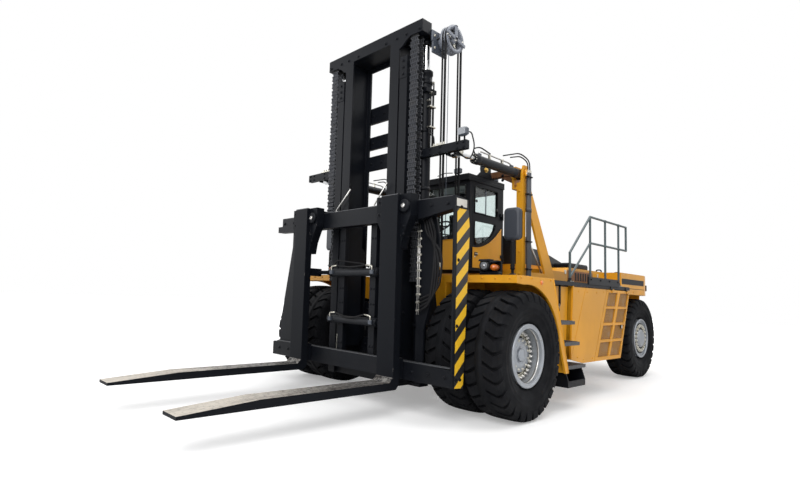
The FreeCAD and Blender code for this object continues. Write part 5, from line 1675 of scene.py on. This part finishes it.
    def roof(self, shape: Shape) -> None:
        """Adds lamps, a hatch, a gutter and cables to the roof.

        Args:
            shape: what they are added to.
        """
        shape.slab((-0.8, 0.652, 3.452), (0.8, 0.668, 3.545), Coat.BLACK, 0.006)
        shape.slab((-0.42, 0.98, 3.553), (0.42, 1.5, 3.58), Coat.BLACK, 0.012)
        shape.slab((-0.36, 1.04, 3.578), (0.36, 1.44, 3.586), Coat.GLASS, 0.004)
        for x, y, way in ((0.66, 1.64, 1), (-0.66, 1.64, 1), (0.56, 0.7, -1), (-0.56, 0.7, -1)):
            shape.tube(((x, y, 3.55), (x, y, 3.585)), 0.01, Coat.BLACK, 8)
            shape.slab(
                (x - 0.065, y - 0.035, 3.582), (x + 0.065, y + 0.035, 3.672), Coat.DRUM, 0.014)
            face = y + way * 0.036
            shape.slab((x - 0.056, face - 0.003, 3.592), (x + 0.056, face + 0.003, 3.662),
                       Coat.CLEAR, 0.002)
        shape.turned(((3.554, 0.055), (3.572, 0.055), (3.576, 0.046), (3.64, 0.042), (3.652, 0.03),
                      (3.655, 0.0)), (-0.28, 1.6, 0), UP, Coat.AMBER, 24)
        shape.tube(((0.5, 0.75, 3.6), (0.55, 0.86, 3.565), (0.7, 1.0, 3.562),
                    (0.73, 1.5, 3.562), (0.68, 1.62, 3.575)), 0.007, Coat.HOSE, 8, bend=0.08)
        shape.tube(((0.15, 0.7, 3.6), (0.3, 0.69, 3.63), (0.45, 0.7, 3.61)), 0.008,
                   Coat.HOSE, 8, bend=0.06)

    def inside(self) -> None:
        """The seat with its frame and levers, the console's dials and the pedals."""
        shape = Shape("seat_frame")
        shape.slab((-0.19, 1.18, 2.031), (0.19, 1.52, 2.2), Coat.MOULDED, 0.02)
        for k in range(4):
            shape.slab((-0.165 - 0.006 * (k % 2), 1.2, 2.2 + 0.035 * k),
                       (0.165 + 0.006 * (k % 2), 1.5, 2.232 + 0.035 * k), Coat.SEAL, 0.012)
        shape.slab((-0.25, 1.13, 2.338), (0.25, 1.58, 2.366), Coat.MOULDED, 0.01)
        shape.slab((-0.22, 1.625, 2.46), (0.22, 1.658, 3.06), Coat.MOULDED, 0.02)
        for x in (-0.296, 0.296):
            shape.slab((x - 0.034, 1.2, 2.592), (x + 0.034, 1.56, 2.648), Coat.MOULDED, 0.02)
            shape.slab((x - 0.015, 1.49, 2.4), (x + 0.015, 1.54, 2.6), Coat.MOULDED, 0.006)
        for k in range(3):
            shape.tube(((0.275 + 0.02 * k, 1.235, 2.645), (0.275 + 0.02 * k, 1.215, 2.725)),
                       0.005, Coat.CHROME, 8)
            shape.turned(((2.72, 0.008), (2.735, 0.013), (2.752, 0.01), (2.756, 0.0)),
                         (0.275 + 0.02 * k, 1.215, 0), UP, Coat.MOULDED, 12)
        shape.piece("chassis", "operator_seat", slot="plastic")
        for name, low, high in (("seat_cushion", (-0.26, 1.11, 2.36), (0.26, 1.6, 2.475)),
                                ("seat_back", (-0.25, 1.54, 2.475), (0.25, 1.632, 3.105))):
            Pad(name, low, high).build()
        panel = Shape("console_dials")
        panel.slab((-0.17, 0.775, 2.405), (0.17, 0.86, 2.47), Coat.MOULDED, 0.015)
        for x in (-0.11, -0.035, 0.04, 0.11):
            panel.turned(
                ((0.861, 0.027), (0.868, 0.027), (0.868, 0.0)), (x, 0, 2.438), REAR, Coat.CLEAR, 20)
        panel.turned(
            ((2.786, 0.036), (2.8, 0.032), (2.806, 0.0)), (0, 0.985, 0), UP, Coat.MOULDED, 20)
        for x in (-0.07, 0.09):
            panel.slab((x - 0.035, 0.9, 2.045), (x + 0.035, 0.985, 2.115), Coat.SEAL, 0.01)
        panel.piece("chassis")

    def build(self) -> None:
        """Builds the whole cab."""
        self.door()
        self.shell()
        self.inside()


@dataclass
class Towers:
    """Fittings of the tilt towers and cylinders, with the mirrors and lamps on the fenders."""

    ram: float = 1.35
    ram_level: float = 3.545
    pipe: float = 1.485
    headlamp: Spot = (1.54, 0.0, 2.0)
    mirror_post: Spot = (1.875, 0.1, 0.0)

    def towers(self) -> None:
        """Pipes, hoses and clamps on each tower's outside, a strut behind it, and its ram's eye."""
        shape = Shape("tower_fittings")
        for y in (1.245, 1.302):
            shape.tube(((self.pipe, y, 3.56), (self.pipe, y, 2.7), (1.485, y + 0.01, 1.92),
                        (1.5, y + 0.02, 1.866)), 0.025, Coat.PIPE, 12, bend=0.06)
            shape.turned(((2.93, 0.031), (2.99, 0.031)), (self.pipe, y, 0), UP, Coat.PIPE, 12)
            shape.turned(((3.555, 0.027), (3.6, 0.027), (3.6, 0.016)), (self.pipe, y, 0), UP,
                         Coat.ZINC, 6, smooth=False)
        for level in (2.02, 2.45, 3.2, 3.48):
            shape.slab((1.459, 1.205, level), (1.516, 1.345, level + 0.022), Coat.BLACK, 0.004)
        shape.tube(((1.485, 1.245, 3.59), (1.485, 1.235, 3.72), (1.44, 1.1, 3.8),
                    (1.4, 0.86, 3.74)), 0.01, Coat.HOSE, 8, bend=0.1)
        shape.tube(((1.485, 1.302, 3.59), (1.48, 1.3, 3.76), (1.42, 1.12, 3.86), (1.37, 0.7, 3.74)),
                   0.01, Coat.HOSE, 8, bend=0.12)
        shape.tube(((1.38, 1.485, 2.5), (1.38, 2.005, 1.89)), 0.013, Coat.STEEL, 10)
        for x in (1.235, 1.465):
            shape.disc(
                x - 0.012, x + 0.012, 0.074, (0, 1.26, self.ram_level), LEFT, Coat.YELLOW, 32)
            shape.disc(x - 0.018, x + 0.018, 0.041, (0, 1.26, self.ram_level), LEFT, Coat.STEEL, 24)
        shape.bolts((1.318, 1.452), (1.36, 1.62, 1.88, 2.14), 1.885, UP, 0.032)
        shape.bolts(1.0, 1.33, (3.52, 3.6), -REAR, 0.03)
        shape.bolts(1.39, 1.16, (1.96, 2.3, 2.62, 2.94, 3.26), -REAR, 0.024, Coat.YELLOW)
        shape.piece("chassis", mirror=True)

    def cylinders(self) -> None:
        """Glands, ports and the bright pipe on each tilt cylinder."""
        for side, sign in SIDES.items():
            shape = Shape(f"tilt_cylinder_fittings_{side}")
            x = sign * self.ram
            shape.turned(((-0.055, 0.033), (-0.055, 0.06), (-0.045, 0.076), (0.045, 0.076),
                          (0.052, 0.0685)), (x, 0, self.ram_level), REAR, Coat.CHASSIS, 36)
            for k in range(10):
                a = 2 * pi * (k + 0.5) / 10
                shape.hex_bolt((x + 0.051 * cos(a), -0.054, self.ram_level + 0.051 * sin(a)),
                               -REAR, 0.014, Coat.ZINC, washer=False)
            shape.turned(((1.02, 0.0685), (1.03, 0.076), (1.1, 0.076), (1.105, 0.06)),
                         (x, 0, self.ram_level), REAR, Coat.CHASSIS, 36)
            for y in (0.08, 0.98):
                shape.slab((x - 0.024, y - 0.026, 3.605), (x + 0.024, y + 0.026, 3.644), Coat.DRUM)
            shape.tube(((x, 0.08, 3.64), (x, 0.08, 3.675), (x, 0.13, 3.682), (x, 0.9, 3.668),
                        (x, 0.98, 3.64)), 0.011, Coat.STEEL, 10, bend=0.03)
            for y in (0.35, 0.7):
                shape.slab((x - 0.02, y - 0.012, 3.61), (x + 0.02, y + 0.012, 3.688), Coat.ZINC)
            shape.tube(((x - sign * 0.04, 0.06, 3.61), (x - sign * 0.06, 0.0, 3.71),
                        (x - sign * 0.04, 0.16, 3.77), (x + sign * 0.02, 0.34, 3.69)), 0.01,
                       Coat.HOSE, 8, bend=0.07)
            shape.piece(f"tilt_barrel_{side}")

    def mirror(self, shape: Shape) -> None:
        """Adds the rounded mirror on its bellows stalk.

        Args:
            shape: what it is added to.
        """
        for y0, y1, coat, grow in (
                (0.062, 0.132, Coat.MIRROR, 0.0), (0.128, 0.148, Coat.SEAL, -0.006)):
            rings = []
            for y, inset in ((y0, 0.035), (y0 + 0.012, 0.012), (y0 + 0.03, 0.0), (y1 - 0.006, 0.0),
                             (y1, 0.006)):
                ring = []
                wide, tall, r = 0.121 + grow - inset, 0.224 + grow - inset, 0.06
                for cx, cz, start in ((wide - r, tall - r, 0), (r - wide, tall - r, 1),
                                      (r - wide, r - tall, 2), (wide - r, r - tall, 3)):
                    for k in range(6):
                        a = pi / 2 * (start + k / 5)
                        ring.append(at(1.8675 + cx + r * cos(a), y, 2.575 + cz + r * sin(a)))
                rings.append(ring)
            shape.loft(rings, coat, smooth=False)
        shape.slab((1.775, 0.1475, 2.38), (1.96, 0.1495, 2.77), Coat.CHROME, 0.001)
        shape.tube(((1.875, 0.1, 1.862), (1.875, 0.1, 2.36)), 0.019, Coat.MOULDED, 14)
        profile = [(1.95 + 0.018 * k, 0.034 if k % 2 else 0.025) for k in range(22)]
        shape.turned(profile, self.mirror_post, UP, Coat.SEAL, 18)
        shape.turned(
            ((1.861, 0.055), (1.876, 0.052), (1.9, 0.03)), self.mirror_post, UP, Coat.BLACK, 20)

    def lamps(self) -> None:
        """Mirrors, headlamps and indicators on both fenders."""
        shape = Shape("mirrors_headlamps")
        self.mirror(shape)
        shape.slab((1.465, -0.055, 1.861), (1.755, 0.055, 1.916), Coat.BLACK, 0.01)
        shape.turned(((-0.07, 0.06), (-0.066, 0.072), (0.0, 0.076), (0.045, 0.064), (0.058, 0.04),
                      (0.058, 0.0)), self.headlamp, REAR, Coat.MOULDED, 32)
        shape.turned(((-0.078, 0.0), (-0.076, 0.034), (-0.068, 0.056), (-0.064, 0.061)),
                     self.headlamp, REAR, Coat.CLEAR, 32)
        shape.turned(
            ((-0.08, 0.0), (-0.08, 0.018), (-0.076, 0.02)), self.headlamp, REAR, Coat.CHROME, 20)
        hood = [(-0.085, 2.06), (-0.06, 2.09), (0.055, 2.09), (0.055, 1.916), (0.04, 1.916),
                (0.04, 2.076), (-0.052, 2.076)]
        for x0, x1 in ((1.462, 1.62), (1.622, 1.738)):
            shape.loft([[(x, y, z - (0.022 if x0 > 1.6 else 0.0)) for y, z in hood]
                        for x in (x0, x1)], Coat.BLACK, smooth=False)
        shape.turned(((-0.082, 0.0), (-0.076, 0.028), (-0.058, 0.044), (-0.03, 0.05), (0.03, 0.05),
                      (0.03, 0.0)), (1.675, 0, 1.976), REAR, Coat.AMBER, 28)
        shape.slab((1.465, -0.04, 1.905), (1.478, 0.045, 2.08), Coat.BLACK, 0.004)
        shape.tube(((1.54, 0.05, 1.99), (1.54, 0.1, 1.97), (1.56, 0.11, 1.87)), 0.007,
                   Coat.HOSE, 8, bend=0.03)
        shape.piece("chassis", "mirrors_and_lamps", slot="plastic", mirror=True)

    def build(self) -> None:
        """Builds everything on the towers and the fenders' tops."""
        self.towers()
        self.cylinders()
        self.lamps()


# --- body work


@dataclass
class Body:
    """Trim of the fenders, steps, panels, grilles, hood, deck and counterweight."""

    deck_top: float = 1.8605
    exhaust: Spot = (-0.62, 4.45, 0.0)
    rear_lamp: Spot = (1.3, 6.925, 0.0)

    def sheet(self, shape: Shape, low: tuple[float, float], high: tuple[float, float]) -> None:
        """Adds a tread sheet to the shape, over the deck from its low corner to its high one."""
        shape.slab((*low, self.deck_top), (*high, self.deck_top + 0.004), Coat.CHEQUER, 0.002)

    def fenders(self) -> None:
        """Marker lamps, tread sheets and bolts of the front fenders."""
        shape = Shape("fender_trim")
        shape.turned(((2.15, 0.03), (2.156, 0.03), (2.164, 0.02), (2.166, 0.0)),
                     (0, 0.357, 1.787), LEFT, Coat.AMBER, 20)
        self.sheet(shape, (1.14, -0.262), (2.11, 0.69))
        shape.turned(((0.772, 0.03), (0.772, 0.058), (0.782, 0.064), (0.81, 0.064), (0.82, 0.058),
                      (0.82, 0.03)), (0, -0.185, 1.847), LEFT, Coat.YELLOW, 32, closed=True)
        shape.bolts(2.15, (-0.18, 0.1, 0.62), 1.835, LEFT, 0.02, Coat.YELLOW)
        shape.bolts((1.25, 1.45, 1.65, 1.85, 2.05), -0.286, 1.82, -REAR, 0.02, Coat.YELLOW)
        shape.tube(((2.148, 0.705, 1.855), (2.148, 1.168, 0.545)), 0.009, Coat.YELLOW, 8)
        self.sheet(shape, (1.14, 0.69), (1.86, 1.12))
        shape.piece("chassis", mirror=True)

    def steps(self) -> None:
        """Tread grips, the step recess painted black as shade, the grab post and the hanging safety
        chain.
        """
        shape = Shape("step_trim")
        for level, y0, y1 in ((1.262, 0.955, 1.395), (0.958, 1.065, 1.555), (0.622, 1.185, 1.755)):
            shape.slab(
                (1.845, y0 + 0.01, level), (2.141, y1 - 0.01, level + 0.006), Coat.CHEQUER, 0.002)
            shape.slab((2.136, y0, level - 0.042), (2.1435, y1, level + 0.008), Coat.WORN, 0.003)
            for k in range(7):
                y = y0 + (y1 - y0) * (k + 0.5) / 7
                shape.slab((1.86, y - 0.012, level + 0.005), (2.12, y + 0.012, level + 0.012),
                           Coat.WORN, 0.003)
        lower = [(1.115, 0.852), (1.183, 0.612), (1.78, 0.612), (1.872, 1.78), (1.2, 1.78),
                 (1.2, 1.48), (0.99, 1.48), (1.09, 1.1)]
        shape.loft(
            [[(x, y, z) for y, z in lower] for x in (1.8305, 1.8335)], Coat.YELLOW, smooth=False)
        # painted shade: a flat black sheet stands for the shadow inside the step recess
        recess = [(0.79, 1.785), (0.985, 1.49), (1.19, 1.49), (1.19, 1.785)]
        shape.loft(
            [[(x, y, z) for y, z in recess] for x in (1.8305, 1.8325)], Coat.BLACK, smooth=False)
        for z, y in ((1.56, 0.955), (1.64, 0.905), (1.72, 0.85)):
            shape.slab((1.832, y, z), (1.842, 1.18, z + 0.018), Coat.DRUM, 0.003)
        shape.slab((1.828, 0.97, 1.47), (1.85, 1.2, 1.492), Coat.DRUM, 0.003)
        shape.tube(((1.87, 1.5, 1.86), (1.87, 1.5, 1.5), (1.836, 1.5, 1.46)), 0.017,
                   Coat.BLACK, 12, bend=0.04)
        for k in range(12):
            self.link(shape, at(1.876 - 0.001 * k, 1.475 - 0.01 * sin(k * 0.4), 1.49 - 0.034 * k),
                      k % 2 == 0, Coat.LINKS if k % 4 < 2 else Coat.SEAL)
        shape.tube(((1.866, 1.47, 1.085), (1.866, 1.45, 1.06), (1.866, 1.475, 1.035),
                    (1.866, 1.5, 1.06)), 0.006, Coat.ZINC, 8, bend=0.02)
        shape.disc(1.872, 1.884, 0.013, (0, 1.475, 1.3), LEFT, Coat.RED, 16)
        shape.piece("chassis", mirror=True)

    @staticmethod
    def link(shape: Shape, spot: Vector, turned: bool, coat: Coat) -> None:
        """Adds one link of a small chain.

        Args:
            shape: what it is added to.
            spot: the link's middle.
            turned: whether it stands across the truck.
            coat: the finish.
        """
        side = LEFT if turned else REAR
        ring = [spot + side * (0.01 * cos(a)) + UP * (0.021 * sin(a))
                for a in (2 * pi * k / 12 for k in range(13))]
        shape.tube(ring, 0.0042, coat, 6)

    def panels(self) -> None:
        """The side panels' folds and fasteners."""
        shape = Shape("side_panel_trim")
        fold = [(1.822, 0.668), (1.836, 0.667), (2.372, 1.786), (2.356, 1.786)]
        shape.loft(
            [[(x, y, z) for y, z in fold] for x in (1.8998, 1.9035)], Coat.YELLOW, smooth=False)
        for y, z in ((2.42, 1.72), (2.8, 1.72), (3.1, 1.74), (2.28, 0.64), (2.62, 0.64),
                     (2.06, 0.68), (2.1, 1.72)):
            shape.turned(((1.9, 0.013), (1.904, 0.013), (1.906, 0.009), (1.906, 0.0)),
                         (0, y, z), LEFT, Coat.YELLOW, 14)
        shape.slab((1.87, 1.93, 1.786), (1.903, 3.24, 1.799), Coat.SEAL, 0.003)
        shape.piece("chassis", mirror=True)
        for side, sign in SIDES.items():
            door = Shape(f"grille_{side}_mesh")
            for row in range(4):
                low, high = 0.641 + row * 0.285, 0.884 + row * 0.285
                for column in range(2):
                    left = 2.791 + column * 0.52
                    outline = [(left + (low - 0.58) * 0.44, low),
                               (left + 0.448 + (low - 0.58) * 0.405, low),
                               (left + 0.448 + (high - 0.58) * 0.405, high),
                               (left + (high - 0.58) * 0.44, high)]
                    door.loft([[(sign * x, y, z) for y, z in outline] for x in (1.8862, 1.8885)],
                              Coat.MESH, smooth=False)
                    frame = [at(sign * 1.9005, y, z) for y, z in outline + outline[:1]]
                    door.tube(frame, 0.0035, Coat.YELLOW, 6)
            latch = at(0, 3.865, 1.135)
            door.turned(((1.9, 0.0), (1.9, 0.036), (1.909, 0.036), (1.911, 0.03), (1.911, 0.0)),
                        latch, LEFT * sign, Coat.BLACK, 24)
            door.slab((sign * 1.913 - 0.006, 3.85, 1.105), (sign * 1.913 + 0.006, 3.88, 1.165),
                      Coat.ZINC, 0.004)
            for y, z in ((2.73, 0.61), (3.81, 0.61), (3.27, 1.76), (4.24, 1.76)):
                door.turned(((1.9, 0.011), (1.905, 0.011), (1.905, 0.0)), (0, y, z),
                            LEFT * sign, Coat.YELLOW, 12)
            door.piece(f"grille_{side}")

    def hood(self) -> None:
        """Louvres on the hood's black middle, its seams, hinges, side boxes with a brown plate of
        painted shade under them, and exhaust.
        """
        shape = Shape("hood_trim")
        lean = Matrix.Rotation(radians(-36.0), 4, "X")
        for k in range(6):
            spot = at(0.45, 2.29 + 0.042 * k, 2.676 - 0.0305 * k)
            shape.slab(spot - at(0.36, 0.013, 0.002), spot + at(0.36, 0.013, 0.012), Coat.MOULDED,
                       turn=Matrix.Translation(spot) @ lean @ Matrix.Translation(-spot))
        for y, low, high in ((2.21, 2.12, 2.66), (2.79, 2.2, 2.46), (3.6, 2.2, 2.3)):
            shape.slab((0.8985, y, low), (0.9045, y + 0.012, high), Coat.SEAL, 0.001)
        shape.slab((0.94, 3.26, 2.178), (1.225, 4.12, 2.262), Coat.BLACK, 0.014)
        shape.slab((0.95, 3.28, 2.258), (1.215, 4.1, 2.274), Coat.MOULDED, 0.006)
        # painted shade: a brown plate stands for the yellow side in shadow under the side box, with
        # black slats over it
        shape.slab((1.2335, 3.2, 1.93), (1.2395, 4.3, 2.13), Coat.SHADE_BROWN, 0.002)
        for k in range(7):
            shape.slab(
                (1.2305, 3.5 + 0.11 * k, 1.95), (1.2425, 3.57 + 0.11 * k, 2.1), Coat.BLACK, 0.003)
        for y in (3.1, 4.55):
            shape.slab((1.228, y - 0.03, 2.055), (1.248, y + 0.03, 2.125), Coat.ZINC)
        shape.slab((1.2325, 2.9, 1.905), (1.2405, 4.86, 1.915), Coat.SEAL, 0.002)
        shape.mirrored()
        for y in (4.16, 4.6):
            shape.slab((-1.2, y, 2.18), (1.2, y + 0.012, 2.188), Coat.SEAL, 0.002)
        shape.turned(((2.176, 0.16), (2.19, 0.155), (2.2, 0.1), (2.202, 0.0)), self.exhaust,
                     UP, Coat.BLACK, 32)
        shape.turned(((2.2, 0.075), (2.42, 0.075), (2.42, 0.068), (2.3, 0.066)), self.exhaust,
                     UP, Coat.STEEL, 28)
        shape.piece("chassis")

    def deck(self) -> None:
        """Walkway sheets, the clamps of the handrails and a filler cap."""
        shape = Shape("deck_trim")
        self.sheet(shape, (1.245, 2.62), (1.89, 4.29))
        self.sheet(shape, (1.525, 1.125), (1.89, 2.62))
        for y in (2.01, 2.79, 3.432, 4.051):
            shape.turned(((1.868, 0.04), (1.884, 0.04), (1.892, 0.026), (1.93, 0.026),
                          (1.934, 0.019)), (1.8, y, 0), UP, Coat.BLACK, 20)
            shape.bolts(1.832, (y - 0.032, y + 0.032), 1.872, UP, 0.016, Coat.ZINC)
        for y, z in ((3.432, 2.567), (4.051, 2.567), (3.432, 3.02), (4.051, 3.02)):
            shape.disc(y - 0.026, y + 0.026, 0.0225, (1.8, 0, z), REAR, Coat.RAIL, 16)
        shape.bolts(1.925, (2.52, 2.9, 3.28, 3.66), 1.93, LEFT, 0.022)
        shape.slab((1.34, 4.1, 1.866), (1.52, 4.26, 1.93), Coat.ZINC, 0.02)
        shape.turned(((1.93, 0.05), (1.965, 0.05), (1.972, 0.04), (1.972, 0.0)), (1.43, 4.18, 0),
                     UP, Coat.BLACK, 24)
        shape.piece("chassis", mirror=True)

    def weight(self) -> None:
        """The counterweight's side bands, lamps, lifting eyes, tow fittings and tread sheet."""
        shape = Shape("counterweight_trim")
        shape.slab((1.5402, 4.96, 1.95), (1.5432, 6.2, 2.062), Coat.BLACK, 0.001)
        shape.slab((1.54, 4.93, 1.865), (1.5425, 6.22, 1.874), Coat.SEAL, 0.001)
        shape.slab((1.47, 5.0, 1.655), (1.5395, 5.045, 1.752), Coat.BLACK, 0.008)
        shape.slab((1.478, 4.992, 1.665), (1.546, 5.002, 1.742), Coat.RED, 0.004)
        shape.turned(((1.538, 0.03), (1.546, 0.03), (1.552, 0.02), (1.553, 0.0)),
                     (0, 5.024, 1.7), LEFT, Coat.CLEAR, 20)
        turn = (
            Matrix.Translation(Vector(self.rear_lamp)) @ Matrix.Rotation(radians(-51.3), 4, "Z"))
        shape.slab((-0.13, -0.01, 1.86), (0.13, 0.028, 1.99), Coat.BLACK, 0.004, turn)
        for x0, x1, coat in ((-0.118, -0.005, Coat.RED), (0.005, 0.06, Coat.AMBER),
                             (0.066, 0.118, Coat.CLEAR)):
            shape.slab((x0, 0.024, 1.868), (x1, 0.034, 1.982), coat, 0.004, turn)
        for y in (5.35, 6.35):
            shape.turned(((2.18, 0.07), (2.19, 0.07), (2.196, 0.05), (2.196, 0.0)),
                         (0.95, y, 0), UP, Coat.YELLOW, 28)
            shape.tube(((0.9, y, 2.19), (0.9, y, 2.26), (1.0, y, 2.26), (1.0, y, 2.19)),
                       0.014, Coat.BLACK, 10, bend=0.05)
        for y in (5.1, 5.6, 6.05):
            shape.turned(
                ((1.54, 0.022), (1.545, 0.022), (1.545, 0.0)), (0, y, 1.8), LEFT, Coat.YELLOW, 18)
        shape.piece("chassis", mirror=True)
        rear = Shape("tow_fittings")
        rear.slab((-0.17, 7.476, 1.2), (0.17, 7.49, 1.235), Coat.BLACK, 0.006)
        for x in (-0.42, 0.42):
            rear.turned(
                ((7.455, 0.0), (7.47, 0.035), (7.478, 0.035)), (x, 0, 1.45), REAR, Coat.BLACK, 20)
        rear.slab((-0.6, 6.7, 2.182), (0.6, 7.2, 2.19), Coat.CHEQUER, 0.003)
        rear.piece("chassis")

    def under(self) -> None:
        """The bolted flange at the front axle's drive."""
        shape = Shape("drive_fittings")
        shape.turned(((0.6, 0.06), (0.6, 0.1), (0.64, 0.1), (0.66, 0.07)), (0, 0, 0.835), REAR,
                     Coat.CHASSIS, 24)
        for k in range(8):
            a = 2 * pi * k / 8
            shape.hex_bolt(
                (0.155 * cos(a), -0.3, 0.835 + 0.155 * sin(a)), -REAR, 0.026, Coat.CHASSIS)
        shape.piece("chassis")

    def build(self) -> None:
        """Builds all the body's trim."""
        self.fenders()
        self.steps()
        self.panels()
        self.hood()
        self.deck()
        self.weight()
        self.under()


def main() -> None:
    """Loads the model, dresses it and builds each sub-assembly."""
    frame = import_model()
    low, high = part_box("front_rims_left")
    Shape.axle = (low.y + high.y) / 2
    Studio(Shape.axle).build()
    NodeCoats.dress(frame["nodes"])
    wheels = Wheels()
    wheels.tyres()
    wheels.rims()
    Mast().build()
    Carriage().build()
    Cab().build()
    Towers().build()
    Body().build()


if __name__ == "__main__":
    main()
